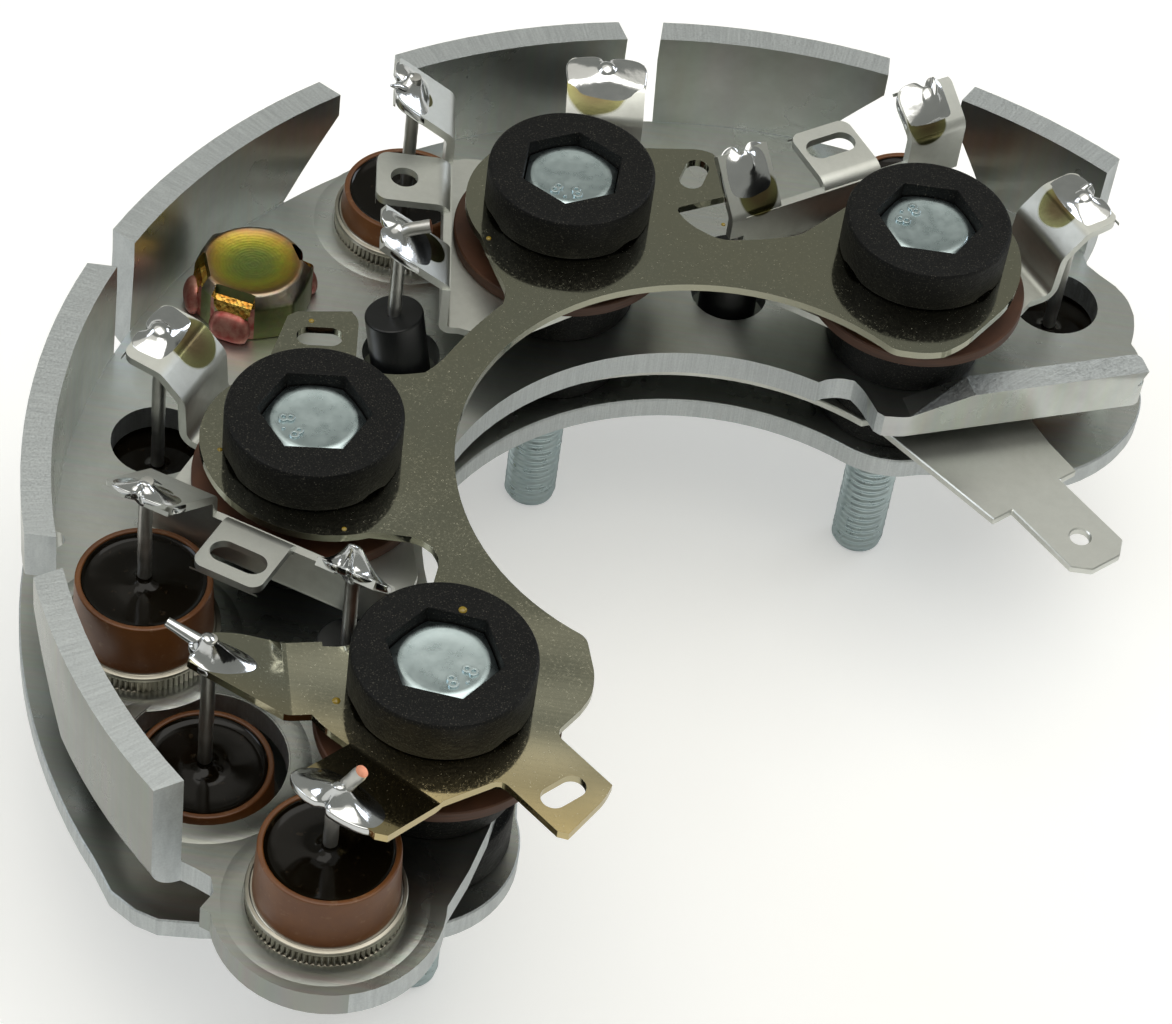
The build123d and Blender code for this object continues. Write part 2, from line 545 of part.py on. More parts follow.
def build():
    made = {}
    made["lower_heat_sink"] = [lower_heat_sink()]
    made["upper_heat_sink"] = [upper_heat_sink()]
    made["neutral_ring"] = [neutral_ring()]
    made["exciter_strip"] = [exciter_strip()]
    for index, name in enumerate("bca"):
        made["phase_terminal_" + name] = [phase_terminal(index)]

    for number, centre in enumerate(BOLTS, 1):
        top = TERM_Z if number < 4 else WASHER_Z
        bottom = STRIP_Z + STRIP_T if number < 4 else LOWER_T
        made["cap_%d" % number] = [cap(centre, HEX_TURNS[number - 1])]
        made["insulating_collar_%d" % number] = [collar(centre)]
        made["fibre_washer_%d" % number] = [tube(centre, WASHER_D, SPIGOT_D + 2 * FIT, WASHER_Z, COLLAR_Z)]
        made["upper_spacer_%d" % number] = [upper_spacer(centre, top)]
        made["lower_spacer_%d" % number] = [lower_spacer(centre, bottom)]
    made["strip_washers"] = [tube(c, SPACER_D, BOLT_HOLE, LOWER_T, STRIP_Z) for c in BOLTS[:3]]
    made["clamp_bolts"] = [clamp_bolt(c, t) for c, t in zip(BOLTS, HEX_TURNS)]
    made["battery_stud"] = [battery_stud()]
    made["battery_bush"] = [battery_bush()]

    places = [("upper_%d" % (i + 1), c, UPPER_Z, UPPER_T, UPPER_TOP + UPPER_RISE[i], UPPER_LEADS[i])
              for i, c in enumerate(UPPER_DIODES)]
    places += [("lower_%d" % (i + 1), c, 0, LOWER_T, LOWER_T + SHORT_RISE, LOWER_LEADS[i])
               for i, c in enumerate(LOWER_DIODES)]
    places += [("lower_4", NEUTRAL_DIODE, 0, LOWER_T, LOWER_T + RIM_RISE, NEUTRAL_LEAD)]
    leads = []
    pots = []
    for name, centre, z, thick, rim, lead_top in places:
        cup, sleeve, potting, lead = diode(centre, z, thick, rim, lead_top)
        made["diode_cup_" + name] = [cup]
        made["diode_sleeve_" + name] = [sleeve]
        pots.append(potting)
        leads.append(lead)
    made["diode_potting"] = pots
    made["diode_leads"] = leads

    # Exciter diodes with a wire at each end
    wires = []
    for number, (foot, top) in enumerate(EXCITERS, 1):
        body, low, high, axis = exciter_diode(foot, top)
        made["exciter_diode_%d" % number] = [body]
        rise = TAB_EX[number - 1] + 1.7
        turn = TERM_ANGLES[number - 1]
        inward = (-2.6 * math.cos(math.radians(turn)), -2.6 * math.sin(math.radians(turn)))
        upper = wire([tuple(high), (high.X, high.Y, rise), (high.X + inward[0], high.Y + inward[1], rise + 0.9)])
        upper = single(upper - body)
        lower = tube(foot, 1.6, 0, STRIP_Z - 1.2, EX_Z + 2) - body
        made["exciter_leads_%d" % number] = [upper, single(lower)]
        wires.append(upper)

    # Solder on every soldered tab, cut by the tab, the lead and the neighbours
    tabs = []
    for index, letter in enumerate("bca"):
        terminal = made["phase_terminal_" + letter][0]
        upper_number = [2, 3, 1][index]
        lower_number = [1, 2, 0][index]
        tabs.append((UPPER_DIODES[upper_number], TAB_UP[index], terminal, leads[upper_number]))
        tabs.append((LOWER_DIODES[lower_number], TAB_LOW, terminal, leads[4 + lower_number]))
        tabs.append((EXCITERS[index][1], TAB_EX[index], terminal, wires[index]))
    ring = made["neutral_ring"][0]
    tabs.append((NEUTRAL_DIODE, RING_TOP + 2.6, ring, leads[7]))
    tabs.append((UPPER_DIODES[0], RING_TOP + 2.6, ring, leads[0]))
    blobs = []
    for centre, level, sheet, lead in tabs:
        blob = at(centre, level + 0.35) * scale(Sphere(1.75), (1, 1, 0.72))
        blobs.append(single(blob - sheet - lead))
    made["solder_joints"] = blobs
    return made


NODES = build()
for node_name, node_solids in NODES.items():
    save(node_name, *node_solids)
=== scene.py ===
import bpy
import bmesh
import math
from mathutils import Matrix, Vector, noise


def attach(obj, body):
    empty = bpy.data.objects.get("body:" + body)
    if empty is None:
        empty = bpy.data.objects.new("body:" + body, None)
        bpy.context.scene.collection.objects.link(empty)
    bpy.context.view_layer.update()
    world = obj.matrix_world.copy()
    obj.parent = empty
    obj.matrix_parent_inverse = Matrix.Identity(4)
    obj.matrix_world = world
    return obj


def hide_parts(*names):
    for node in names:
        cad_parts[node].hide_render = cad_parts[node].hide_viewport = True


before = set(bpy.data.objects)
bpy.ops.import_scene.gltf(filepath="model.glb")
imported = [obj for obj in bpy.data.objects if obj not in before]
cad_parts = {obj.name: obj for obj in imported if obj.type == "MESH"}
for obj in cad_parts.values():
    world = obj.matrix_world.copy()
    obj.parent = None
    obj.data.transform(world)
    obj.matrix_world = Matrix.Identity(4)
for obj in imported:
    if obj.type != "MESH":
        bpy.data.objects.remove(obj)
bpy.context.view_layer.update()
MM = 0.001

# The camera stands in front of the rectifier and looks down at it by 47 degrees, leaning a little
# to the left as the photograph does. Its place comes from the bolt circle and the levels of the stack.
camera_place = Vector((-10.725, -215.756, 245.429)) * MM
look_down = math.radians(47.157)
lean = math.radians(8.629)
ahead = Vector((0.0, math.cos(look_down), -math.sin(look_down)))
level_up = Vector((0.0, math.sin(look_down), math.cos(look_down)))
right = Vector((math.cos(lean), 0, 0)) + level_up * math.sin(lean)
upward = Vector((-math.sin(lean), 0, 0)) + level_up * math.cos(lean)
sensor_width = 36.0
focal_pixels = 3698.72
photo_width = 1172.0
camera_data = bpy.data.cameras.new("camera")
camera_data.sensor_width = sensor_width
camera_data.lens = sensor_width * focal_pixels / photo_width
camera_data.clip_start = 0.01
camera = bpy.data.objects.new("camera", camera_data)
camera.matrix_world = Matrix((
    (right.x, upward.x, -ahead.x, camera_place.x),
    (right.y, upward.y, -ahead.y, camera_place.y),
    (right.z, upward.z, -ahead.z, camera_place.z),
    (0, 0, 0, 1)))
bpy.context.collection.objects.link(camera)
bpy.context.scene.camera = camera
bpy.context.scene.view_settings.view_transform = "Standard"


# One function turns a written sRGB colour to the linear values that the nodes take, and one adds a
# node with its settings and links. A socket or node given as a value becomes a link.
def colour(text):
    channels = [int(text[i:i + 2], 16) / 255 for i in (1, 3, 5)]
    linear = [c / 12.92 if c <= 0.04045 else ((c + 0.055) / 1.055) ** 2.4 for c in channels]
    return (linear[0], linear[1], linear[2], 1.0)


def add(tree, kind, inputs=None, **settings):
    made = tree.nodes.new(kind)
    for name, value in settings.items():
        setattr(made, name, value)
    for key, value in (inputs or {}).items():
        if isinstance(value, bpy.types.Node):
            value = value.outputs[0]
        if isinstance(value, bpy.types.NodeSocket):
            tree.links.new(value, made.inputs[key])
        else:
            made.inputs[key].default_value = value
    return made


# The room: an even grey studio, brighter from about 48 degrees up, where a wide soft box hangs.
# The floor is a pale matte sheet at the bolt tips, on which the rectifier stands.
world = bpy.data.worlds.new("studio")
bpy.context.scene.world = world
world.use_nodes = True
tree = world.node_tree
tree.nodes.clear()
direction = add(tree, "ShaderNodeTexCoord")
axes = add(tree, "ShaderNodeSeparateXYZ", {0: direction.outputs["Generated"]})
height = add(tree, "ShaderNodeMapRange", {
    "Value": axes.outputs["Z"], "From Min": 0.745, "From Max": 0.80}, interpolation_type="SMOOTHSTEP")
walls = add(tree, "ShaderNodeMix", {0: height, 6: colour("#8B8C86"), 7: colour("#EDEAE0")}, data_type="RGBA")
seen = add(tree, "ShaderNodeLightPath")
shown = add(tree, "ShaderNodeMix", {
    0: seen.outputs["Is Camera Ray"], 6: walls.outputs[2], 7: colour("#F4F4F2")}, data_type="RGBA")
glow = add(tree, "ShaderNodeBackground", {"Color": shown.outputs[2], "Strength": 1.0})
add(tree, "ShaderNodeOutputWorld", {"Surface": glow})


def soft_box(name, place, target, size, power, tint):
    data = bpy.data.lights.new(name, "AREA")
    data.shape = "RECTANGLE"
    data.size = size[0]
    data.size_y = size[1]
    data.energy = power
    data.color = colour(tint)[:3]
    lamp = bpy.data.objects.new(name, data)
    lamp.location = place
    lamp.rotation_euler = (Vector(target) - Vector(place)).to_track_quat("-Z", "Y").to_euler()
    bpy.context.collection.objects.link(lamp)


soft_box("overhead", (0.05, -0.05, 0.70), (0, 0, 0), (0.70, 0.70), 2.2, "#FFFDF8")
soft_box("window", (-0.60, -0.10, 0.45), (0, 0, 0), (0.30, 0.30), 1.0, "#EEF4FF")
soft_box("far_window", (0.50, 0.45, 0.34), (0, 0, 0), (0.30, 0.22), 0.9, "#EEF4FF")

floor_mesh = bpy.data.meshes.new("floor")
half_floor = 2.5
bolt_tips = -18.0
floor_corners = [(x * half_floor, y * half_floor, bolt_tips * MM)
                 for x, y in ((-1, -1), (1, -1), (1, 1), (-1, 1))]
floor_mesh.from_pydata(floor_corners, [], [(0, 1, 2, 3)])
floor = bpy.data.objects.new("floor", floor_mesh)
bpy.context.collection.objects.link(floor)
paper = bpy.data.materials.new("matte_paper")
paper.use_nodes = True
tree = paper.node_tree
tree.nodes.clear()
matte = add(tree, "ShaderNodeBsdfDiffuse", {"Color": colour("#E2E2E0")})
seen = add(tree, "ShaderNodeLightPath")
faint = add(tree, "ShaderNodeMath", {0: seen.outputs["Is Glossy Ray"], 1: 0.3}, operation="MULTIPLY")
mirrored = add(tree, "ShaderNodeMath", {0: seen.outputs["Is Camera Ray"], 1: faint}, operation="MAXIMUM")
lifted = add(tree, "ShaderNodeMath", {0: mirrored, 1: 0.35}, operation="MULTIPLY")
sheen = add(tree, "ShaderNodeEmission", {"Color": colour("#FFFFFF"), "Strength": lifted})
white = add(tree, "ShaderNodeAddShader", {0: matte, 1: sheen})
add(tree, "ShaderNodeOutputMaterial", {"Surface": white})
floor_mesh.materials.append(paper)


# Heat sinks: sheet aluminium, blanked and folded, the upper one with six fins and a low lip.
# The rolled faces are smooth and a little tarnished, and the sheared edges pale and streaked.
def finish(name, **shader):
    made = bpy.data.materials.new(name)
    made.use_nodes = True
    surface = made.node_tree.nodes["Principled BSDF"]
    for key, value in shader.items():
        socket = surface.inputs[key.replace("_", " ")]
        socket.default_value = colour(value) if isinstance(value, str) else value
    return made, made.node_tree, surface


def link(tree, source, socket):
    if isinstance(source, bpy.types.Node):
        source = source.outputs[0]
    tree.links.new(source, socket)


# Rolled sheet aluminium: dull silver grey, clouded by handling, darker towards the front.
# The rolling lines are drawn 0.4 mm apart, because the real ones are too fine to show.
rolled, tree, surface = finish("rolled_aluminium", Metallic=1.0, Roughness=0.3)
place = add(tree, "ShaderNodeTexCoord").outputs["Object"]
clouds = add(tree, "ShaderNodeTexNoise", {"Vector": place, "Scale": 70.0, "Detail": 5.0, "Roughness": 0.62})
stretched = add(tree, "ShaderNodeMapping", {
    "Vector": place, "Rotation": (0, 0, 0.4), "Scale": (60.0, 2600.0, 60.0)})
lines = add(tree, "ShaderNodeTexNoise", {"Vector": stretched, "Scale": 1.0, "Detail": 3.0})
specks = add(tree, "ShaderNodeTexNoise", {"Vector": place, "Scale": 2400.0, "Detail": 2.0})
tarnish = add(tree, "ShaderNodeMapRange", {"Value": clouds, "From Min": 0.35, "From Max": 0.68})
tone = add(tree, "ShaderNodeMix", {0: tarnish, 6: colour("#D5D9D6"), 7: colour("#B5B8B3")}, data_type="RGBA")
parts = add(tree, "ShaderNodeSeparateXYZ", {0: place})
# The colour darkens towards the front of the sheet, down to #8E918C
front_share = add(tree, "ShaderNodeMapRange", {
    "Value": parts.outputs["Y"], "From Min": -0.006, "From Max": -0.034, "To Max": 0.85})
front_darkened = add(tree, "ShaderNodeMix", {0: front_share, 6: tone.outputs[2], 7: colour("#8E918C")}, data_type="RGBA")
grain = add(tree, "ShaderNodeMix", {0: 0.10, 6: front_darkened.outputs[2], 7: lines.outputs["Color"]},
            data_type="RGBA", blend_type="OVERLAY")
link(tree, grain.outputs[2], surface.inputs["Base Color"])
dull = add(tree, "ShaderNodeMapRange", {"Value": clouds, "From Min": 0.3, "From Max": 0.7, "To Min": 0.22,
                                        "To Max": 0.38})
link(tree, dull, surface.inputs["Roughness"])
relief = add(tree, "ShaderNodeMath", {0: lines, 1: specks}, operation="ADD")
bump = add(tree, "ShaderNodeBump", {"Height": relief, "Strength": 0.10, "Distance": 0.00006})
link(tree, bump, surface.inputs["Normal"])

# Sheared aluminium: the pale torn face that the blanking tool leaves, streaked across the thickness
sheared, tree, surface = finish("sheared_aluminium", Metallic=1.0, Roughness=0.5)
place = add(tree, "ShaderNodeTexCoord").outputs["Object"]
parts = add(tree, "ShaderNodeSeparateXYZ", {0: place})
around = add(tree, "ShaderNodeMath", {0: parts.outputs["Y"], 1: parts.outputs["X"]}, operation="ARCTAN2")
along = add(tree, "ShaderNodeMath", {0: around, 1: 0.055}, operation="MULTIPLY")
radius = add(tree, "ShaderNodeVectorMath", {0: place}, operation="LENGTH")
low_radius = add(tree, "ShaderNodeMath", {0: radius.outputs["Value"], 1: 0.06}, operation="MULTIPLY")
low_height = add(tree, "ShaderNodeMath", {0: parts.outputs["Z"], 1: 0.06}, operation="MULTIPLY")
bands = add(tree, "ShaderNodeCombineXYZ", {0: along, 1: low_radius, 2: low_height})
streaks = add(tree, "ShaderNodeTexNoise", {"Vector": bands, "Scale": 4200.0, "Detail": 4.0, "Roughness": 0.6})
pits = add(tree, "ShaderNodeTexNoise", {"Vector": place, "Scale": 5200.0, "Detail": 3.0})
both = add(tree, "ShaderNodeMath", {0: streaks, 1: pits}, operation="ADD")
pale = add(tree, "ShaderNodeMapRange", {"Value": both, "From Min": 0.75, "From Max": 1.25})
tone = add(tree, "ShaderNodeMix", {0: pale, 6: colour("#B4B9BB"), 7: colour("#CDD2D3")}, data_type="RGBA")
link(tree, tone.outputs[2], surface.inputs["Base Color"])
rough = add(tree, "ShaderNodeMapRange", {"Value": pits, "From Min": 0.3, "From Max": 0.7, "To Min": 0.36,
                                         "To Max": 0.62})
link(tree, rough, surface.inputs["Roughness"])
bump = add(tree, "ShaderNodeBump", {"Height": both, "Strength": 0.14, "Distance": 0.00006})
link(tree, bump, surface.inputs["Normal"])


def curve_outline(mesh, size):
    # Each upright corner between long sides of a blanked outline becomes a curve, as wide as they allow.
    # The folds beyond fold_radius and the facets of small holes keep their corners.
    thickest = 2.6 * MM
    fold_radius = 54.5 * MM
    shortest_side = 1.2 * MM

    def upright(line):
        low, high = sorted((v.co.z for v in line.verts))
        return high - low > 0.99 * line.calc_length() and 0.5 * MM < high - low < thickest

    corners = []
    for line in mesh.edges:
        if upright(line) and len(line.link_faces) == 2 and line.verts[0].co.to_2d().length < fold_radius:
            if math.radians(7) < line.calc_face_angle(0) < math.radians(100):
                corners.append(line)
    for line in corners:
        if not line.is_valid:
            continue
        sides = [e.calc_length() for e in line.verts[0].link_edges if e is not line]
        wide = size if line.calc_face_angle(0) < math.radians(62) else 0.8 * MM
        room = min(0.46 * min(sides), wide)
        if min(sides) > shortest_side:
            bmesh.ops.bevel(mesh, geom=[line], offset=room, segments=4, profile=0.5, affect="EDGES",
                            clamp_overlap=True)


def soften(name, edge, finishes, choose=None, segments=1, outline=0.0):
    # A copy of the solid with its loose triangles merged, its flat faces joined and its edges broken.
    # With an outline size, the upright corners of its blanked outline are curved first.
    sharp = math.radians(35.0)
    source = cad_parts[name]
    mesh = bmesh.new()
    mesh.from_mesh(source.data)
    bmesh.ops.remove_doubles(mesh, verts=mesh.verts, dist=1e-7)
    bmesh.ops.dissolve_limit(mesh, angle_limit=math.radians(0.6), verts=mesh.verts, edges=mesh.edges)
    if outline > 0:
        curve_outline(mesh, outline * MM)
    corners = [e for e in mesh.edges if len(e.link_faces) == 2 and e.calc_face_angle(0) > sharp]
    bmesh.ops.bevel(mesh, geom=corners, offset=edge * MM, segments=segments, profile=0.5, affect="EDGES",
                    clamp_overlap=True)
    bmesh.ops.triangulate(mesh, faces=mesh.faces)
    for face in mesh.faces:
        face.smooth = abs(face.normal.z) < 0.9995
        if choose:
            face.material_index = choose(face.normal, face.calc_center_median() / MM)
    for line in mesh.edges:
        line.smooth = len(line.link_faces) == 2 and line.calc_face_angle(0) < math.radians(24)
    data = bpy.data.meshes.new(name + "_dressed")
    mesh.to_mesh(data)
    mesh.free()
    for made in finishes:
        data.materials.append(made)
    piece = bpy.data.objects.new(name + "_dressed", data)
    bpy.context.collection.objects.link(piece)
    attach(piece, "root")
    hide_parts(name)
    return piece


def pointing(turn):
    # The level direction at a turn in degrees from +X
    return Vector((math.cos(math.radians(turn)), math.sin(math.radians(turn)), 0))


upper_sheet = (7.2, 9.7)
lower_sheet = (0.0, 2.2)
fin_radius = 55.0
lip_way = pointing(22)
lip_start = Vector((16.4, 20.2, 7.2))
lip_thickness = 2.4


def upper_face(normal, centre):
    # 0 for the rolled faces of the plate, the fins and the lip, 1 for the sheared edges
    reach = math.hypot(centre.x, centre.y)
    outward = Vector((centre.x, centre.y, 0)) / reach
    if abs(normal.z) > 0.9:
        return 1 if centre.z > upper_sheet[1] + 0.8 else 0
    off_lip = centre - lip_start
    across_lip = off_lip.x * lip_way.y - off_lip.y * lip_way.x
    if abs(across_lip) < 0.4 or abs(across_lip + lip_thickness) < 0.4:
        return 0
    folded = reach > fin_radius and abs(normal.x * outward.x + normal.y * outward.y) > 0.5
    if folded and (centre.z > upper_sheet[1] + 0.1 or reach > fin_radius + 1.2):
        return 0
    return 1


upper = soften("upper_heat_sink", 0.14, [rolled, sheared], upper_face, outline=2.5)
lower = soften("lower_heat_sink", 0.14, [rolled, sheared],
               lambda normal, centre: 0 if abs(normal.z) > 0.9 else 1, outline=2.5)


# Rings coined into the upper sheet by the press that seats its four diodes, and one round the hole over
# the neutral pair's lower diode. Each is a low raised bead in the same rolled aluminium.
upper_diodes = [(-26.4, -42.4), (-45.6, -18.2), (-31.6, 35.7), (14.833, 45.651)]
lower_diodes = [(-48.5, 3.6), (-14.926, 45.936), (29.6, 38.2), (-38.2, -30.3)]


def skin(name, rings, made, closed=False, smooth=24.0):
    # Faces between rings of equal count, where a ring of one point is a pole
    mesh = bmesh.new()
    rows = [[mesh.verts.new(Vector(p) * MM) for p in ring] for ring in rings]
    pairs = list(zip(rows, rows[1:])) + ([(rows[-1], rows[0])] if closed else [])
    for low, high in pairs:
        count = max(len(low), len(high))
        for i in range(count):
            j = (i + 1) % count
            if len(low) == 1:
                mesh.faces.new((low[0], high[j], high[i]))
            elif len(high) == 1:
                mesh.faces.new((low[i], low[j], high[0]))
            else:
                mesh.faces.new((low[i], low[j], high[j], high[i]))
    bmesh.ops.recalc_face_normals(mesh, faces=mesh.faces)
    for face in mesh.faces:
        face.smooth = True
    for line in mesh.edges:
        line.smooth = len(line.link_faces) == 2 and line.calc_face_angle(0) < math.radians(smooth)
    data = bpy.data.meshes.new(name)
    mesh.to_mesh(data)
    mesh.free()
    data.materials.append(made)
    piece = bpy.data.objects.new(name, data)
    bpy.context.collection.objects.link(piece)
    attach(piece, "root")
    return piece


def circle(centre, radius, z, count=72, start=0.0):
    angles = [start + 2 * math.pi * i / count for i in range(count)]
    return [(centre[0] + radius * math.cos(a), centre[1] + radius * math.sin(a), z) for a in angles]


def turned(name, centre, profile, made, smooth=24.0):
    # A profile of radii and heights spun about the upright axis at centre
    rings = [[(centre[0], centre[1], z)] if r <= 0 else circle(centre, r, z) for r, z in profile]
    return skin(name, rings, made, smooth=smooth)


def rounded(profile, corners):
    # Each named corner of the profile becomes a small arc of five points
    result = []
    for i, point in enumerate(profile):
        size = corners.get(i, 0)
        if size == 0:
            result.append(point)
            continue
        here = Vector(point)
        back = (Vector(profile[i - 1]) - here).normalized()
        forth = (Vector(profile[(i + 1) % len(profile)]) - here).normalized()
        half_angle = math.acos(max(-1, min(1, back.dot(forth)))) / 2
        reach = size / math.tan(half_angle)
        middle = here + (back + forth).normalized() * (size / math.sin(half_angle))
        first = here + back * reach - middle
        last = here + forth * reach - middle
        for k in range(5):
            mixed = first.lerp(last, k / 4).normalized() * size
            result.append(tuple(middle + mixed))
    return result


for number, centre in enumerate(upper_diodes + [lower_diodes[3]], 1):
    inner = 6.9 if number == 5 else 6.52
    steps = ((0.0, 9.66), (0.04, 9.755), (0.9, 9.775), (1.5, 9.735), (1.9, 9.68))
    ring = turned("coined_ring_%d" % number, centre, [(inner + out, z) for out, z in steps], rolled, smooth=40)


# Press-in diodes: a knurled nickel cup, a brown sleeve glued on it, black potting and a thick lead.
# The cup is pressed into the sheet by its knurl, and the potting climbs the sleeve and the lead.

# Nickel-plated cup: a warm grey plate that is clouded where it was handled
nickel_cup, tree, surface = finish("nickel_plated_cup", Metallic=1.0, Roughness=0.28)
place = add(tree, "ShaderNodeTexCoord").outputs["Object"]
clouds = add(tree, "ShaderNodeTexNoise", {"Vector": place, "Scale": 260.0, "Detail": 5.0})
tone = add(tree, "ShaderNodeMix", {0: clouds, 6: colour("#8F8A7C"), 7: colour("#C9C5B9")}, data_type="RGBA")
link(tree, tone.outputs[2], surface.inputs["Base Color"])
rough = add(tree, "ShaderNodeMapRange", {"Value": clouds, "To Min": 0.2, "To Max": 0.42})
link(tree, rough, surface.inputs["Roughness"])

# Moulded brown sleeve: semi-gloss filled plastic, mottled, with pale specks of dust
brown_sleeve, tree, surface = finish("moulded_brown_sleeve", Roughness=0.38, IOR=1.5)
place = add(tree, "ShaderNodeTexCoord").outputs["Object"]
clouds = add(tree, "ShaderNodeTexNoise", {"Vector": place, "Scale": 180.0, "Detail": 6.0, "Roughness": 0.65})
shade = add(tree, "ShaderNodeMapRange", {"Value": clouds, "From Min": 0.3, "From Max": 0.72})
tone = add(tree, "ShaderNodeMix", {0: shade, 6: colour("#5A3318"), 7: colour("#754820")}, data_type="RGBA")
dust = add(tree, "ShaderNodeTexNoise", {"Vector": place, "Scale": 1900.0, "Detail": 3.0})
speckled = add(tree, "ShaderNodeMapRange", {"Value": dust, "From Min": 0.62, "From Max": 0.72, "To Max": 0.35})
spotted = add(tree, "ShaderNodeMix", {0: speckled, 6: tone.outputs[2], 7: colour("#8A6E52")}, data_type="RGBA")
link(tree, spotted.outputs[2], surface.inputs["Base Color"])
bump = add(tree, "ShaderNodeBump", {"Height": dust, "Strength": 0.12, "Distance": 0.00005})
link(tree, bump, surface.inputs["Normal"])

# Black epoxy potting: poured glossy resin with a few dust specks sunk in its skin
potting, tree, surface = finish("poured_black_epoxy", Roughness=0.09, IOR=1.5, Specular_IOR_Level=0.22)
place = add(tree, "ShaderNodeTexCoord").outputs["Object"]
dust = add(tree, "ShaderNodeTexNoise", {"Vector": place, "Scale": 1300.0, "Detail": 3.0})
speckled = add(tree, "ShaderNodeMapRange", {"Value": dust, "From Min": 0.64, "From Max": 0.74, "To Max": 0.6})
tone = add(tree, "ShaderNodeMix", {0: speckled, 6: colour("#0D0904"), 7: colour("#342A1E")}, data_type="RGBA")
link(tree, tone.outputs[2], surface.inputs["Base Color"])
swirl = add(tree, "ShaderNodeTexNoise", {"Vector": place, "Scale": 240.0, "Detail": 2.0})
bump = add(tree, "ShaderNodeBump", {"Height": swirl, "Strength": 0.10, "Distance": 0.0004})
link(tree, bump, surface.inputs["Normal"])
rough = add(tree, "ShaderNodeMapRange", {"Value": swirl, "To Min": 0.05, "To Max": 0.16})
link(tree, rough, surface.inputs["Roughness"])

# Tinned copper wire: dull bright tin, lumpy where it was dipped
tinned_wire, tree, surface = finish("tinned_copper_wire", Metallic=1.0, Roughness=0.25)
place = add(tree, "ShaderNodeTexCoord").outputs["Object"]
lumps = add(tree, "ShaderNodeTexNoise", {"Vector": place, "Scale": 600.0, "Detail": 4.0})
tone = add(tree, "ShaderNodeMix", {0: lumps, 6: colour("#AAA9A4"), 7: colour("#DCDCD8")}, data_type="RGBA")
link(tree, tone.outputs[2], surface.inputs["Base Color"])
rough = add(tree, "ShaderNodeMapRange", {"Value": lumps, "To Min": 0.24, "To Max": 0.5})
link(tree, rough, surface.inputs["Roughness"])
bump = add(tree, "ShaderNodeBump", {"Height": lumps, "Strength": 0.16, "Distance": 0.0001})
link(tree, bump, surface.inputs["Normal"])

# Cut end of the wire, where the shears left bare copper
bare_copper, tree, surface = finish("bare_copper", Metallic=1.0, Roughness=0.4)
place = add(tree, "ShaderNodeTexCoord").outputs["Object"]
lumps = add(tree, "ShaderNodeTexNoise", {"Vector": place, "Scale": 1500.0, "Detail": 3.0})
tone = add(tree, "ShaderNodeMix", {0: lumps, 6: colour("#A8603F"), 7: colour("#E0A183")}, data_type="RGBA")
link(tree, tone.outputs[2], surface.inputs["Base Color"])


def new_tree(name, inputs):
    # A Geometry Nodes tree with one geometry output and the named inputs
    made = bpy.data.node_groups.new(name, "GeometryNodeTree")
    made.interface.new_socket("Geometry", in_out="OUTPUT", socket_type="NodeSocketGeometry")
    for title, kind in inputs.items():
        made.interface.new_socket(title, in_out="INPUT", socket_type="NodeSocket" + kind)
    return made


# Knurl: straight teeth round the cup, pressed by a rolling tool of about 0.47 mm pitch
knurl = new_tree("knurl", {
    "Teeth": "Int", "Radius": "Float", "Tooth width": "Float", "Tooth height": "Float", "Centre": "Vector",
    "Finish": "Material"})
given = add(knurl, "NodeGroupInput")
rim = add(knurl, "GeometryNodeMeshCircle", {
    "Vertices": given.outputs["Teeth"], "Radius": given.outputs["Radius"]}, fill_type="NONE")
tooth_size = add(knurl, "ShaderNodeCombineXYZ", {
    0: given.outputs["Tooth width"], 1: given.outputs["Tooth width"], 2: given.outputs["Tooth height"]})
tooth = add(knurl, "GeometryNodeMeshCube", {"Size": tooth_size})
tooth_number = add(knurl, "GeometryNodeInputIndex")
share = add(knurl, "ShaderNodeMath", {0: tooth_number, 1: given.outputs["Teeth"]}, operation="DIVIDE")
angle = add(knurl, "ShaderNodeMath", {0: share, 1: 2 * math.pi, 2: math.pi / 4}, operation="MULTIPLY_ADD")
turn = add(knurl, "ShaderNodeCombineXYZ", {2: angle})
teeth = add(knurl, "GeometryNodeInstanceOnPoints", {
    "Points": rim, "Instance": tooth.outputs["Mesh"], "Rotation": turn})
moved = add(knurl, "GeometryNodeTransform", {"Geometry": teeth, "Translation": given.outputs["Centre"]})
real = add(knurl, "GeometryNodeRealizeInstances", {"Geometry": moved})
faced = add(knurl, "GeometryNodeSetMaterial", {"Geometry": real, "Material": given.outputs["Finish"]})
add(knurl, "NodeGroupOutput", {"Geometry": faced})


def grown(name, group, values):
    # A plain mesh of what the tree makes from the named values
    holder = bpy.data.objects.new(name + "_seed", bpy.data.meshes.new(name + "_seed"))
    bpy.context.collection.objects.link(holder)
    modifier = holder.modifiers.new("grow", "NODES")
    modifier.node_group = group
    for item in group.interface.items_tree:
        if item.item_type == "SOCKET" and item.in_out == "INPUT" and item.name in values:
            modifier[item.identifier] = values[item.name]
    view = holder.evaluated_get(bpy.context.evaluated_depsgraph_get())
    data = bpy.data.meshes.new_from_object(view)
    data.name = name
    bpy.data.objects.remove(holder)
    piece = bpy.data.objects.new(name, data)
    bpy.context.collection.objects.link(piece)
    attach(piece, "root")
    return piece


def join(name, pieces):
    # One object with one mesh from several, keeping their finishes
    mesh = bmesh.new()
    finishes = []
    for piece in pieces:
        start = len(mesh.faces)
        mesh.from_mesh(piece.data)
        mesh.faces.ensure_lookup_table()
        order = []
        for made in piece.data.materials:
            if made not in finishes:
                finishes.append(made)
            order.append(finishes.index(made))
        for face in mesh.faces[start:]:
            face.material_index = order[face.material_index]
    data = bpy.data.meshes.new(name)
    mesh.to_mesh(data)
    mesh.free()
    for made in finishes:
        data.materials.append(made)
    for piece in pieces:
        bpy.data.objects.remove(piece)
    whole = bpy.data.objects.new(name, data)
    bpy.context.collection.objects.link(whole)
    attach(whole, "root")
    return whole


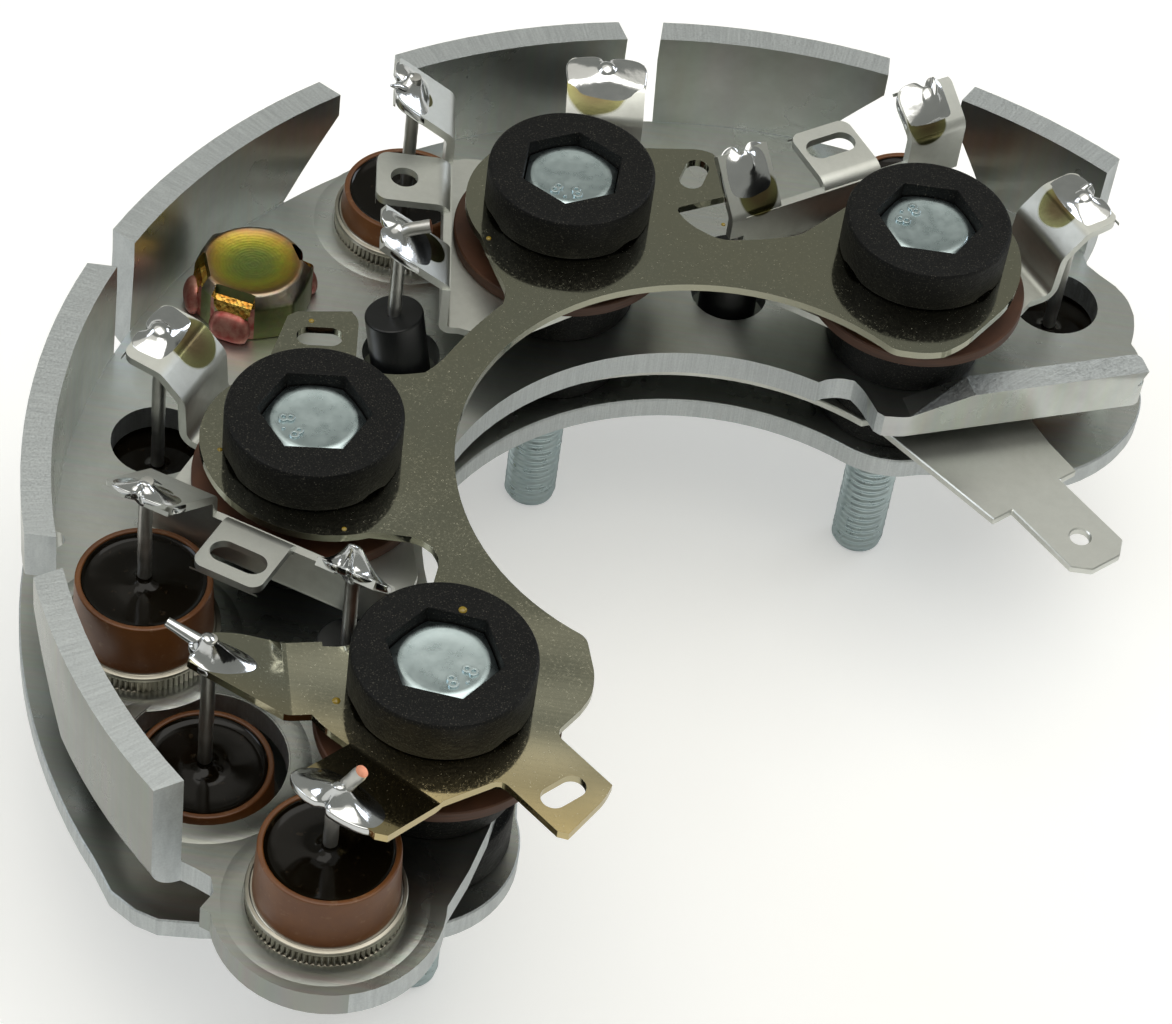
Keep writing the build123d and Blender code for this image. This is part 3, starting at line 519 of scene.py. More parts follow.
cup_rise = 1.7
cup_radius = 6.4
cup_neck = cup_radius - 0.42
knurl_height = cup_rise - 0.55
sleeve_bore = 5.14
tall = 6.9
short = 4.2
potting_radii = (5.20, 5.12, 5.02, 4.90, 4.72, 4.45, 4.0, 3.4, 2.8, 2.2, 1.8, 1.5, 1.25, 1.05, 0.9, 0.78,
                 0.7, 0.66)
places = [("upper_%d" % i, centre, *upper_sheet, rise)
          for i, (centre, rise) in enumerate(zip(upper_diodes, (tall, tall, short, short)), 1)]
places += [("lower_%d" % i, centre, *lower_sheet, rise)
           for i, (centre, rise) in enumerate(zip(lower_diodes, (short, short, short, tall)), 1)]
pots = []
for name, centre, bottom, top, rise in places:
    cup_top = top + cup_rise
    rim_z = top + rise
    shell = turned("cup_shell", centre, rounded([
        (0, bottom), (cup_radius - 0.1, bottom), (cup_radius - 0.1, top - 0.15), (cup_neck, top - 0.05),
        (cup_neck, cup_top - 0.4), (cup_radius - 0.3, cup_top), (5.80, cup_top), (5.75, cup_top - 0.2),
        (0, cup_top - 0.2)], {5: 0.12}), nickel_cup)
    collar = turned("cup_collar", centre, rounded([
        (cup_radius - 0.44, cup_top - 0.45), (cup_radius + 0.02, cup_top - 0.45),
        (cup_radius + 0.02, cup_top - 0.05), (cup_radius - 0.3, cup_top + 0.02)],
        {1: 0.06, 2: 0.1}), nickel_cup)
    ridge = grown("cup_knurl", knurl, {
        "Teeth": 82, "Radius": (cup_radius - 0.22) * MM, "Tooth width": 0.29 * MM,
        "Tooth height": knurl_height * MM, "Finish": nickel_cup,
        "Centre": (centre[0] * MM, centre[1] * MM, (top + knurl_height / 2) * MM)})
    cup = join("cup_" + name, [shell, collar, ridge])
    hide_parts("diode_cup_" + name)

    sleeve = turned("sleeve_" + name, centre, rounded([
        (5.2, cup_top - 0.15), (5.84, cup_top - 0.15), (5.84, cup_top + 0.35), (5.64, rim_z),
        (sleeve_bore, rim_z), (sleeve_bore, rim_z - 0.9)], {3: 0.16, 4: 0.14}), brown_sleeve)
    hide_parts("diode_sleeve_" + name)

    # The resin is level inside the rim, and climbs the sleeve's wall and the lead
    skin_z = rim_z - 0.42
    resin = [(5.18, skin_z - 0.8)]
    for r in potting_radii:
        wall = 0.30 * math.exp(-(sleeve_bore - r) / 0.28)
        mound = 0.55 * math.exp(-((r - 0.55) / 0.75) ** 1.4) if r > 0.56 else 0.55
        resin.append((r, skin_z + wall + mound - 0.04))
    resin.append((0.60, skin_z + 0.95))
    pots.append(turned("pot_" + name, centre, resin, potting, smooth=60))
pots = join("potting", pots)
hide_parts("diode_potting")


# Leads: 1.2 mm tinned copper, cropped just above the tab that each is soldered to.
# They sway and swell a little, as dipped wire does. The front one leans and shows its cut copper end.
def tube(name, points, radii, made, tip=None):
    # A round wire along the points; a tip material is for the cut end
    sides = 20
    rings = []
    for i, point in enumerate(points):
        here = Vector(point)
        before = Vector(points[max(i - 1, 0)])
        after = Vector(points[min(i + 1, len(points) - 1)])
        way = (after - before).normalized()
        side = way.cross(Vector((0.3, 0.95, 0.1))).normalized()
        other = way.cross(side)
        ring = []
        for k in range(sides):
            a = 2 * math.pi * k / sides
            ring.append(tuple(here + (side * math.cos(a) + other * math.sin(a)) * radii[i]))
        rings.append(ring)
    rings.append([tuple(Vector(points[-1]) + way * 0.06)])
    rings.insert(0, [points[0]])
    piece = skin(name, rings, made, smooth=50)
    if tip:
        piece.data.materials.append(tip)
        for face in piece.data.polygons:
            from_end = (face.center / MM - Vector(points[-1])).length
            if from_end < radii[-1] * 1.05 and face.normal.dot(way) > 0.5:
                face.material_index = 1
    return piece


# noise_vector starts from the clock unless it is given a seed, and would bend the leads anew in each run
noise.seed_set(5)
wire_radius = 0.60
lead_tops = [26.4, 28.3, 27.5, 25.4, 23.0, 22.9, 23.0, 24.7]
leads = []
for number, (name, centre, bottom, top, rise) in enumerate(places):
    start = top + rise - 0.5
    end = lead_tops[number]
    leaning = number == 0
    steps = 26
    points = []
    radii = []
    for k in range(steps + 1):
        share_up = k / steps
        z = start + (end - start) * share_up
        sway = 0.12 * share_up
        wobble = noise.noise_vector(Vector((centre[0], centre[1], z * 0.22)))
        tip_lean = 2.0 * max(0.0, (z - 22.6) / 4.0) if leaning else 0.0
        points.append((centre[0] + wobble.x * sway + tip_lean, centre[1] + wobble.y * sway, z))
        swell = 0.05 * noise.noise(Vector((centre[0] * 3, z * 0.9, 2.0)))
        radii.append(wire_radius + swell - (0.06 if k == steps else 0))
    leads.append(tube("lead", points, radii, tinned_wire, bare_copper if leaning else None))
leads = join("leads", leads)
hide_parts("diode_leads")


# Exciter diodes: small black epoxy cylinders standing on the strip, each with a wire at both ends.
# The top wire runs up through the fork of its tab, and the first one is bent over there.

# Moulded black epoxy: near black, with a slightly uneven satin sheen
black_epoxy, tree, surface = finish("moulded_black_epoxy", Roughness=0.36, IOR=1.5)
place = add(tree, "ShaderNodeTexCoord").outputs["Object"]
clouds = add(tree, "ShaderNodeTexNoise", {"Vector": place, "Scale": 420.0, "Detail": 6.0, "Roughness": 0.7})
tone = add(tree, "ShaderNodeMix", {0: clouds, 6: colour("#090A0B"), 7: colour("#17191B")}, data_type="RGBA")
link(tree, tone.outputs[2], surface.inputs["Base Color"])
rough = add(tree, "ShaderNodeMapRange", {"Value": clouds, "To Min": 0.22, "To Max": 0.5})
link(tree, rough, surface.inputs["Roughness"])

# Foot on the strip, place of the body's top, way out of the terminal, height of the wire's top
exciters = [((-28.9, 18.6), (-30.3, 19.0), 187.0, 24.7),
            ((-0.7, 32.1), (-0.8, 34.4), 126.0, 24.0),
            ((-28.3, -19.2), (-28.4, -19.9), 251.0, 26.2)]
body_radius = 2.65
body_length = 8.4
bend_radius = 1.3
for number, (foot, head, turn, wire_top) in enumerate(exciters, 1):
    low = Vector((foot[0], foot[1], 6.0))
    axis = (Vector((head[0], head[1], 14.4)) - low).normalized()
    high = low + axis * body_length
    side = axis.cross(Vector((0, 1, 0))).normalized()
    other = axis.cross(side)
    profile = rounded([(0, 0), (body_radius, 0), (body_radius, body_length), (0, body_length)],
                      {1: 0.25, 2: 0.22})
    angles = [2 * math.pi * k / 56 for k in range(56)]
    rings = []
    for r, along_axis in profile:
        middle = low + axis * along_axis
        if r <= 0:
            rings.append([tuple(middle)])
        else:
            rings.append([tuple(middle + (side * math.cos(a) + other * math.sin(a)) * r) for a in angles])
    body = skin("exciter_body_%d" % number, rings, black_epoxy)
    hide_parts("exciter_diode_%d" % number)

    bent_over = number == 1
    inward = -pointing(turn)
    bend_z = wire_top - bend_radius
    points = [tuple(high.lerp(Vector((high.x, high.y, bend_z)), k / 13)) for k in range(14)]
    if bent_over:
        for k in range(1, 9):
            a = math.pi / 2 * k / 8 * 0.86
            across = bend_radius * (1 - math.cos(a))
            points.append((high.x + inward.x * across, high.y + inward.y * across,
                           bend_z + bend_radius * math.sin(a)))
        last = Vector(points[-1])
        heading = (last - Vector(points[-2])).normalized()
        points += [tuple(last + heading * 0.4 * k) for k in range(1, 5)]
    radii = [wire_radius + 0.03 * noise.noise(Vector((number * 7.0, k * 0.5, 0))) for k in range(len(points))]
    wire_up = tube("exciter_wire_top", points, radii, tinned_wire, bare_copper if bent_over else None)
    wire_down = tube("exciter_wire_foot", [(foot[0], foot[1], z) for z in (3.0, 4.6, 6.2)], [0.62, 0.7, 0.7],
                     tinned_wire)
    wires = join("exciter_wires_%d" % number, [wire_up, wire_down])
    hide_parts("exciter_leads_%d" % number)


# Caps and spacers: black glass-filled plastic, moulded, with a hexagonal recess for the bolt head.
# The surface is matte with pale specks of dust and filler, which also stand in for the sparkle of the glass
# fibres as painted highlights; they are drawn coarser than they are so that they show.
black_plastic, tree, surface = finish(
    "moulded_black_plastic", Roughness=0.55, IOR=1.5, Specular_IOR_Level=0.2)
place = add(tree, "ShaderNodeTexCoord").outputs["Object"]
clouds = add(tree, "ShaderNodeTexNoise", {"Vector": place, "Scale": 210.0, "Detail": 6.0, "Roughness": 0.7})
fine = add(tree, "ShaderNodeTexNoise", {"Vector": place, "Scale": 8000.0, "Detail": 2.0, "Roughness": 0.6})
tone = add(tree, "ShaderNodeMix", {0: clouds, 6: colour("#040505"), 7: colour("#0A0B0B")}, data_type="RGBA")
# Pale specks: dust and filler, and painted sparkle highlights of the glass fibres
specks = add(tree, "ShaderNodeMapRange", {"Value": fine, "From Min": 0.60, "From Max": 0.76, "To Max": 0.4})
speckled = add(tree, "ShaderNodeMix", {0: specks, 6: tone.outputs[2], 7: colour("#8A867A")}, data_type="RGBA")
link(tree, speckled.outputs[2], surface.inputs["Base Color"])
rough = add(tree, "ShaderNodeMapRange", {"Value": clouds, "From Min": 0.3, "From Max": 0.7, "To Min": 0.46,
                                         "To Max": 0.72})
link(tree, rough, surface.inputs["Roughness"])
grit = add(tree, "ShaderNodeTexNoise", {"Vector": place, "Scale": 2700.0, "Detail": 3.0, "Roughness": 0.6})
bump = add(tree, "ShaderNodeBump", {"Height": grit, "Strength": 0.6, "Distance": 0.00014})
link(tree, bump, surface.inputs["Normal"])

bolt_circle = 34.4
bolts = [(bolt_circle * math.cos(math.radians(a)), bolt_circle * math.sin(math.radians(a)))
         for a in (118.7, 63.0, 187.0, 234.5)]
hex_turns = [29.0, 1.0, 8.0, 54.5]


def hexagon(centre, across, z, turn, fall=0.0, free=0.0):
    # Hexagon of a size across flats. Beyond the radius free it falls, as a turned chamfer leaves a corner.
    ring = []
    for k in range(72):
        a = 2 * math.pi * k / 72
        r = across / 2 / math.cos((a % (math.pi / 3)) - math.pi / 6)
        ring.append((centre[0] + r * math.cos(a + turn), centre[1] + r * math.sin(a + turn),
                     z - fall * max(0.0, r - free)))
    return ring


cap_bore = 2.76
cap_foot = 20.2
cap_crown = 24.6
cap_side = ((cap_bore, 20.32), (7.2, 20.32), (7.42, 20.42), (7.5, 20.62), (7.5, 24.1), (7.47, 24.3),
            (7.38, 24.48), (7.22, 24.58), (7.0, cap_crown), (6.6, cap_crown))
skirt_gaps = ((212, 9), (322, 8))
for number, centre in enumerate(bolts, 1):
    turn = math.radians(hex_turns[number - 1])
    rings = []
    for r, z in cap_side:
        ring = []
        for x, y, level in circle(centre, r, z, 72, turn):
            # Two shallow gaps under the skirt, towards the front
            around = math.degrees(math.atan2(y - centre[1], x - centre[0])) % 360
            gap = max(math.exp(-((around - middle) / wide) ** 4) for middle, wide in skirt_gaps)
            ring.append((x, y, level + (0.42 * gap if 7.0 < r and z < 21 else 0)))
        rings.append(ring)
    rings += [hexagon(centre, across, z, turn)
              for across, z in ((8.5, cap_crown), (8.36, 24.56), (8.3, 24.45), (8.3, cap_foot))]
    rings.append(circle(centre, cap_bore, cap_foot, 72, turn))
    piece = skin("cap_body_%d" % number, rings, black_plastic, closed=True)
    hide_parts("cap_%d" % number)

for number in range(1, 5):
    for name in ("insulating_collar_%d", "upper_spacer_%d", "lower_spacer_%d"):
        piece = soften(name % number, 0.2, [black_plastic], segments=2)
for name in ("strip_washers", "battery_bush"):
    piece = soften(name, 0.2, [black_plastic], segments=2)


# Clamp bolts: M5 hexagon bolts of zinc-plated steel, one through each cap down to the alternator.
# The head has a round chamfer and raised grade numbers, and the shank a rolled thread.

# Blue zinc plate: cool silver with a fine uneven bloom
zinc, tree, surface = finish("blue_zinc_plate", Metallic=1.0, Roughness=0.3)
place = add(tree, "ShaderNodeTexCoord").outputs["Object"]
clouds = add(tree, "ShaderNodeTexNoise", {"Vector": place, "Scale": 800.0, "Detail": 5.0, "Roughness": 0.6})
tone = add(tree, "ShaderNodeMix", {0: clouds, 6: colour("#ACBEC2"), 7: colour("#CDDADC")}, data_type="RGBA")
link(tree, tone.outputs[2], surface.inputs["Base Color"])
rough = add(tree, "ShaderNodeMapRange", {"Value": clouds, "From Min": 0.3, "From Max": 0.7, "To Min": 0.24,
                                         "To Max": 0.36})
link(tree, rough, surface.inputs["Roughness"])
bump = add(tree, "ShaderNodeBump", {"Height": clouds, "Strength": 0.10, "Distance": 0.00008})
link(tree, bump, surface.inputs["Normal"])

# Thread: one grid wrapped round the axis, its radius rising and falling once in each pitch
thread = new_tree("thread", {
    "Around": "Int", "Rows": "Int", "Bottom": "Float", "Length": "Float", "Radius": "Float", "Depth": "Float",
    "Pitch": "Float", "Tip radius": "Float", "Centre": "Vector", "Finish": "Material"})
given = add(thread, "NodeGroupInput")
grid = add(thread, "GeometryNodeMeshGrid", {
    "Size X": 1.0, "Size Y": 1.0, "Vertices X": given.outputs["Around"], "Vertices Y": given.outputs["Rows"]})
where = add(thread, "GeometryNodeInputPosition")
parts = add(thread, "ShaderNodeSeparateXYZ", {0: where})
lap = add(thread, "ShaderNodeMath", {0: parts.outputs["X"], 1: 0.5}, operation="ADD")
climb = add(thread, "ShaderNodeMath", {0: parts.outputs["Y"], 1: 0.5}, operation="ADD")
height = add(thread, "ShaderNodeMath", {0: climb, 1: given.outputs["Length"]}, operation="MULTIPLY")
laps = add(thread, "ShaderNodeMath", {0: height, 1: given.outputs["Pitch"]}, operation="DIVIDE")
phase = add(thread, "ShaderNodeMath", {0: laps, 1: lap}, operation="SUBTRACT")
saw = add(thread, "ShaderNodeMath", {0: phase, 1: 0.5}, operation="PINGPONG")
crest = add(thread, "ShaderNodeMath", {0: saw, 1: 0.5}, operation="SUBTRACT")
doubled = add(thread, "ShaderNodeMath", {0: crest, 1: 2.0}, operation="MULTIPLY")
full = add(thread, "ShaderNodeMath", {0: doubled, 1: given.outputs["Depth"], 2: given.outputs["Radius"]},
           operation="MULTIPLY_ADD")
tip = add(thread, "ShaderNodeMath", {0: height, 1: given.outputs["Tip radius"]}, operation="ADD")
closed_tip = add(thread, "ShaderNodeMath", {0: height, 1: 1000.0}, operation="MULTIPLY")
first = add(thread, "ShaderNodeMath", {0: full, 1: tip}, operation="MINIMUM")
reach = add(thread, "ShaderNodeMath", {0: first, 1: closed_tip}, operation="MINIMUM")
angle = add(thread, "ShaderNodeMath", {0: lap, 1: 2 * math.pi}, operation="MULTIPLY")
cosine = add(thread, "ShaderNodeMath", {0: angle}, operation="COSINE")
sine = add(thread, "ShaderNodeMath", {0: angle}, operation="SINE")
x = add(thread, "ShaderNodeMath", {0: cosine, 1: reach}, operation="MULTIPLY")
y = add(thread, "ShaderNodeMath", {0: sine, 1: reach}, operation="MULTIPLY")
z = add(thread, "ShaderNodeMath", {0: height, 1: given.outputs["Bottom"]}, operation="ADD")
spot = add(thread, "ShaderNodeCombineXYZ", {0: x, 1: y, 2: z})
centred = add(thread, "ShaderNodeVectorMath", {0: spot, 1: given.outputs["Centre"]}, operation="ADD")
wrapped = add(thread, "GeometryNodeSetPosition", {"Geometry": grid.outputs["Mesh"], "Position": centred})
sealed = add(thread, "GeometryNodeMergeByDistance", {"Geometry": wrapped, "Distance": 0.000004})
evened = add(thread, "GeometryNodeSetShadeSmooth", {"Geometry": sealed})
real = add(thread, "GeometryNodeRealizeInstances", {"Geometry": evened})
faced = add(thread, "GeometryNodeSetMaterial", {"Geometry": real, "Material": given.outputs["Finish"]})
add(thread, "NodeGroupOutput", {"Geometry": faced})


def raised_text(words, size, height, centre, z, turn, made):
    # Letters that stand up from a face at height z, as the heading die leaves them
    curve = bpy.data.curves.new("mark", "FONT")
    curve.body = words
    curve.size = size * MM
    curve.extrude = height * MM
    curve.bevel_depth = 0.04 * MM
    curve.align_x = "CENTER"
    curve.align_y = "CENTER"
    curve.resolution_u = 3
    holder = bpy.data.objects.new("mark", curve)
    bpy.context.collection.objects.link(holder)
    data = bpy.data.meshes.new_from_object(holder.evaluated_get(bpy.context.evaluated_depsgraph_get()))
    bpy.data.objects.remove(holder)
    place_it = Matrix.Translation(Vector((centre[0], centre[1], z)) * MM) @ Matrix.Rotation(turn, 4, "Z")
    data.transform(place_it)
    data.materials.clear()
    data.materials.append(made)
    piece = bpy.data.objects.new("mark", data)
    bpy.context.collection.objects.link(piece)
    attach(piece, "root")
    return piece


bolt_across = 8.0
bolt_under = 20.16
bolt_face = 23.60
crown = 3.72
mark_circle = 2.35
mark_turns = [265.0, 150.0, 215.0, 318.0]
pieces = []
for number, centre in enumerate(bolts, 1):
    turn = math.radians(hex_turns[number - 1])
    rings = [circle(centre, 2.4, bolt_under, 72, turn), hexagon(centre, bolt_across, bolt_under, turn),
             hexagon(centre, bolt_across, bolt_face - 0.04, turn, fall=0.55, free=crown)]
    for r, z in ((crown, bolt_face), (crown - 0.12, 23.65), (crown - 0.5, 23.65), (2.8, bolt_face),
                 (1.8, 23.58), (0.9, 23.57)):
        rings.append(circle(centre, r, z, 72, turn))
    rings.append([(centre[0], centre[1], 23.57)])
    head = skin("bolt_head", rings, zinc, smooth=30)
    for step, letter in ((-24, "8"), (0, "."), (24, "8")):
        a = math.radians(mark_turns[number - 1] + step)
        spot = (centre[0] + mark_circle * math.cos(a), centre[1] + mark_circle * math.sin(a))
        pieces.append(raised_text(letter, 1.9, 0.15, spot, bolt_face, a + math.pi / 2, zinc))
    shank = grown("bolt_shank", thread, {
        "Around": 41, "Rows": 200, "Bottom": bolt_tips * MM, "Length": 24.0 * MM, "Radius": 2.5 * MM,
        "Depth": 0.27 * MM, "Pitch": 0.8 * MM, "Tip radius": 1.85 * MM,
        "Centre": (centre[0] * MM, centre[1] * MM, 0), "Finish": zinc})
    pieces += [head, shank]
bolts_piece = join("clamp_bolts_dressed", pieces)
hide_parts("clamp_bolts")


# Output stud: M6, yellow chromated steel, its staked head turned on a lathe before it was notched.
# The chromate shifts from yellow through green to red, most in the notches.

# Yellow chromate on zinc: bands of tint round the axis, with turning marks 0.3 mm apart
chromate, tree, surface = finish("yellow_chromate_zinc", Metallic=1.0, Roughness=0.3)
place = add(tree, "ShaderNodeTexCoord").outputs["Object"]
clouds = add(tree, "ShaderNodeTexNoise", {"Vector": place, "Scale": 190.0, "Detail": 4.0, "Roughness": 0.55})
fine = add(tree, "ShaderNodeTexNoise", {"Vector": place, "Scale": 1500.0, "Detail": 4.0, "Roughness": 0.6})
offset = add(tree, "ShaderNodeVectorMath", {0: place, 1: (-0.0436, 0.0226, 0.0)}, operation="SUBTRACT")
flattened = add(tree, "ShaderNodeVectorMath", {0: offset, 1: (1.0, 1.0, 0.0)}, operation="MULTIPLY")
reach = add(tree, "ShaderNodeVectorMath", {0: flattened}, operation="LENGTH")
uneven = add(tree, "ShaderNodeMath", {
    0: clouds, 1: 0.0016, 2: reach.outputs["Value"]}, operation="MULTIPLY_ADD")
shells = add(tree, "ShaderNodeValToRGB", {"Fac": add(tree, "ShaderNodeMapRange", {
    "Value": uneven, "From Min": 0.0008, "From Max": 0.0068})})
tints = ((0.0, "#73834A"), (0.28, "#7E8A45"), (0.46, "#9C9A3C"), (0.58, "#A8923E"), (0.68, "#9C7A4E"),
         (0.76, "#9A9184"))
stops = shells.color_ramp.elements
stops[-1].position = tints[-1][0]
for where_at, tint in tints[1:-1]:
    stops.new(where_at)
for stop, (where_at, tint) in zip(stops, tints):
    stop.color = colour(tint)
facing = add(tree, "ShaderNodeNewGeometry")
normal = add(tree, "ShaderNodeSeparateXYZ", {0: facing.outputs["Normal"]})
flat = add(tree, "ShaderNodeMapRange", {"Value": normal.outputs["Z"], "From Min": 0.2, "From Max": 0.6})
side = add(tree, "ShaderNodeMix", {0: clouds, 6: colour("#5E6B43"), 7: colour("#8C8A62")}, data_type="RGBA")
tone = add(tree, "ShaderNodeMix", {0: flat, 6: side.outputs[2], 7: shells.outputs["Color"]}, data_type="RGBA")
mottled = add(tree, "ShaderNodeMix", {0: 0.22, 6: tone.outputs[2], 7: fine.outputs["Color"]},
              data_type="RGBA", blend_type="OVERLAY")
link(tree, mottled.outputs[2], surface.inputs["Base Color"])
turning = add(tree, "ShaderNodeMath", {0: reach.outputs["Value"], 1: 21000.0}, operation="MULTIPLY")
grooves = add(tree, "ShaderNodeMath", {0: turning}, operation="SINE")
relief = add(tree, "ShaderNodeMath", {0: grooves, 1: 0.06, 2: fine}, operation="MULTIPLY_ADD")
bump = add(tree, "ShaderNodeBump", {"Height": relief, "Strength": 0.4, "Distance": 0.00008})
link(tree, bump, surface.inputs["Normal"])

# Thick chromate in the notches: gold crystals on the floors, red to pink on walls and tongues
chromate_gold, tree, surface = finish("chromate_gold", Metallic=1.0, Roughness=0.26)
place = add(tree, "ShaderNodeTexCoord").outputs["Object"]
cells = add(tree, "ShaderNodeTexVoronoi", {"Vector": place, "Scale": 2300.0})
tone = add(tree, "ShaderNodeMix", {0: cells.outputs["Color"], 6: colour("#C07A2E"), 7: colour("#D8BE62")},
           data_type="RGBA")
link(tree, tone.outputs[2], surface.inputs["Base Color"])
bump = add(tree, "ShaderNodeBump", {
    "Height": cells.outputs["Distance"], "Strength": 0.6, "Distance": 0.00015})
link(tree, bump, surface.inputs["Normal"])
chromate_red, tree, surface = finish("chromate_red", Metallic=0.75, Roughness=0.4)
place = add(tree, "ShaderNodeTexCoord").outputs["Object"]
clouds = add(tree, "ShaderNodeTexNoise", {"Vector": place, "Scale": 700.0, "Detail": 5.0, "Roughness": 0.6})
shade = add(tree, "ShaderNodeMapRange", {"Value": clouds, "From Min": 0.35, "From Max": 0.65})
tone = add(tree, "ShaderNodeMix", {0: shade, 6: colour("#94403C"), 7: colour("#B88A7C")}, data_type="RGBA")
link(tree, tone.outputs[2], surface.inputs["Base Color"])
bump = add(tree, "ShaderNodeBump", {"Height": clouds, "Strength": 0.3, "Distance": 0.0001})
link(tree, bump, surface.inputs["Normal"])

stud = (-43.6, 22.6)
stud_axis = Vector((stud[0], stud[1], 0))
head_foot = 9.72


def head_radius(a):
    # Hexagon with well rounded corners
    within = ((a - 0.35) % (math.pi / 3)) - math.pi / 6
    return 5.15 + 0.5 * (abs(within) / (math.pi / 6)) ** 2.2


rings = [circle(stud, 3.0, head_foot, 120)]
for inset, z in ((0.12, head_foot), (0.0, 9.84), (0.0, 13.2), (0.06, 13.5), (0.2, 13.75)):
    ring = []
    for k in range(120):
        a = 2 * math.pi * k / 120
        r = head_radius(a) - inset
        ring.append((stud[0] + r * math.cos(a), stud[1] + r * math.sin(a), z))
    rings.append(ring)
for r, z in ((4.6, 14.38), (4.45, 14.52), (4.3, 14.58), (4.12, 14.56), (3.9, 14.48), (3.4, 14.34),
             (2.6, 14.22), (1.5, 14.15), (0.7, 14.13)):
    rings.append(circle(stud, r, z, 120))
rings.append([(stud[0], stud[1], 14.12)])
stud_head = skin("stud_head", rings, chromate, smooth=34)
for finish_used in (chromate_gold, chromate_red):
    stud_head.data.materials.append(finish_used)
# Turn and width of the three staking notches, and the profile that the tool cuts: a steep back wall and a
# floor that slopes outwards
notches = ((199, 3.3), (258, 4.0), (28, 2.4))
notch_profile = ((3.95, 15.5), (4.15, 13.5), (4.6, 13.2), (5.4, 11.9), (7.0, 11.5), (7.0, 15.5))
for turn, width in notches:
    mesh = bmesh.new()
    low_side, high_side = (
        [mesh.verts.new(Vector((n, hand * (width / 2 - (0.25 if z < 14 else 0)), z)) * MM)
         for n, z in notch_profile] for hand in (-1, 1))
    mesh.faces.new(low_side)
    mesh.faces.new(high_side[::-1])
    for k in range(6):
        m = (k + 1) % 6
        mesh.faces.new((low_side[m], low_side[k], high_side[k], high_side[m]))
    bmesh.ops.recalc_face_normals(mesh, faces=mesh.faces)
    data = bpy.data.meshes.new("notch")
    mesh.to_mesh(data)
    mesh.free()
    data.transform(Matrix.Translation(stud_axis * MM) @ Matrix.Rotation(math.radians(turn), 4, "Z"))
    cutter = bpy.data.objects.new("notch", data)
    bpy.context.collection.objects.link(cutter)
    cut = stud_head.modifiers.new("notch", "BOOLEAN")
    cut.object = cutter
    cut.operation = "DIFFERENCE"
    cut.solver = "EXACT"
    view = stud_head.evaluated_get(bpy.context.evaluated_depsgraph_get())
    cut_mesh = bpy.data.meshes.new_from_object(view)
    stud_head.modifiers.clear()
    stud_head.data = cut_mesh
    bpy.data.objects.remove(cutter)
for face in stud_head.data.polygons:
    # The notch walls are red and their floors gold
    off = face.center / MM - stud_axis
    for turn, width in notches:
        way = pointing(turn)
        n = off.x * way.x + off.y * way.y
        t = -off.x * way.y + off.y * way.x
        inside = 4.0 < n < 5.62 and abs(t) < width / 2 + 0.02 and 11.4 < off.z < 14.45
        if inside and face.normal.dot(way) > 0.25:
            face.material_index = 1 if face.normal.z > 0.45 else 2
            face.use_smooth = False


def middle_of(ring):
    return [tuple(sum((Vector(point) for point in ring), Vector()) / len(ring))]


lobes = []
for turn, width in notches:
    # Tongue of metal that the staking tool pushed outwards
    way = pointing(turn)
    over = Vector((-way.y, way.x, 0))
    rings = []
    for k in range(13):
        share = -1 + 2 * k / 12
        fall = math.sqrt(max(0.0, 1 - abs(share) ** 3.2))
        ring = []
        for m in range(20):
            a = 2 * math.pi * m / 20
            z = 10.9 + (0.35 + 1.25 * fall) * math.sin(a)
            n = 5.2 + (0.28 + 1.0 * fall) * 0.66 * math.cos(a) + 0.12 * (11.6 - z)
            spot = stud_axis + way * n + over * share * width * 0.48
            ring.append((spot.x, spot.y, max(9.76, z)))
        rings.append(ring)
    rings = [middle_of(rings[0])] + rings + [middle_of(rings[-1])]
    lobes.append(skin("lobe", rings, chromate_red, smooth=60))
stud_shank = grown("stud_shank", thread, {
    "Around": 45, "Rows": 200, "Bottom": -14.0 * MM, "Length": 23.8 * MM, "Radius": 3.0 * MM,
    "Depth": 0.5 * MM, "Pitch": 1.0 * MM, "Tip radius": 2.2 * MM,
    "Centre": (stud[0] * MM, stud[1] * MM, 0), "Finish": chromate})
stud_piece = join("battery_stud_dressed", [stud_head, stud_shank] + lobes)
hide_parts("battery_stud")


# Fibre washers: brown phenolic paper board, stamped, one under each stack of terminal and ring.
# The cut edge shows the layers, and the faces the fibres.
fibre, tree, surface = finish("phenolic_fibre_board", Roughness=0.6, IOR=1.5)
place = add(tree, "ShaderNodeTexCoord").outputs["Object"]
layered = add(tree, "ShaderNodeMapping", {"Vector": place, "Scale": (400.0, 400.0, 4200.0)})
layers = add(tree, "ShaderNodeTexNoise", {"Vector": layered, "Scale": 1.0, "Detail": 4.0})
tone = add(tree, "ShaderNodeMix", {0: layers, 6: colour("#2C190E"), 7: colour("#5E3820")}, data_type="RGBA")
link(tree, tone.outputs[2], surface.inputs["Base Color"])
bump = add(tree, "ShaderNodeBump", {"Height": layers, "Strength": 0.3, "Distance": 0.0001})
link(tree, bump, surface.inputs["Normal"])
for number in range(1, 5):
    washer = soften("fibre_washer_%d" % number, 0.12, [fibre])


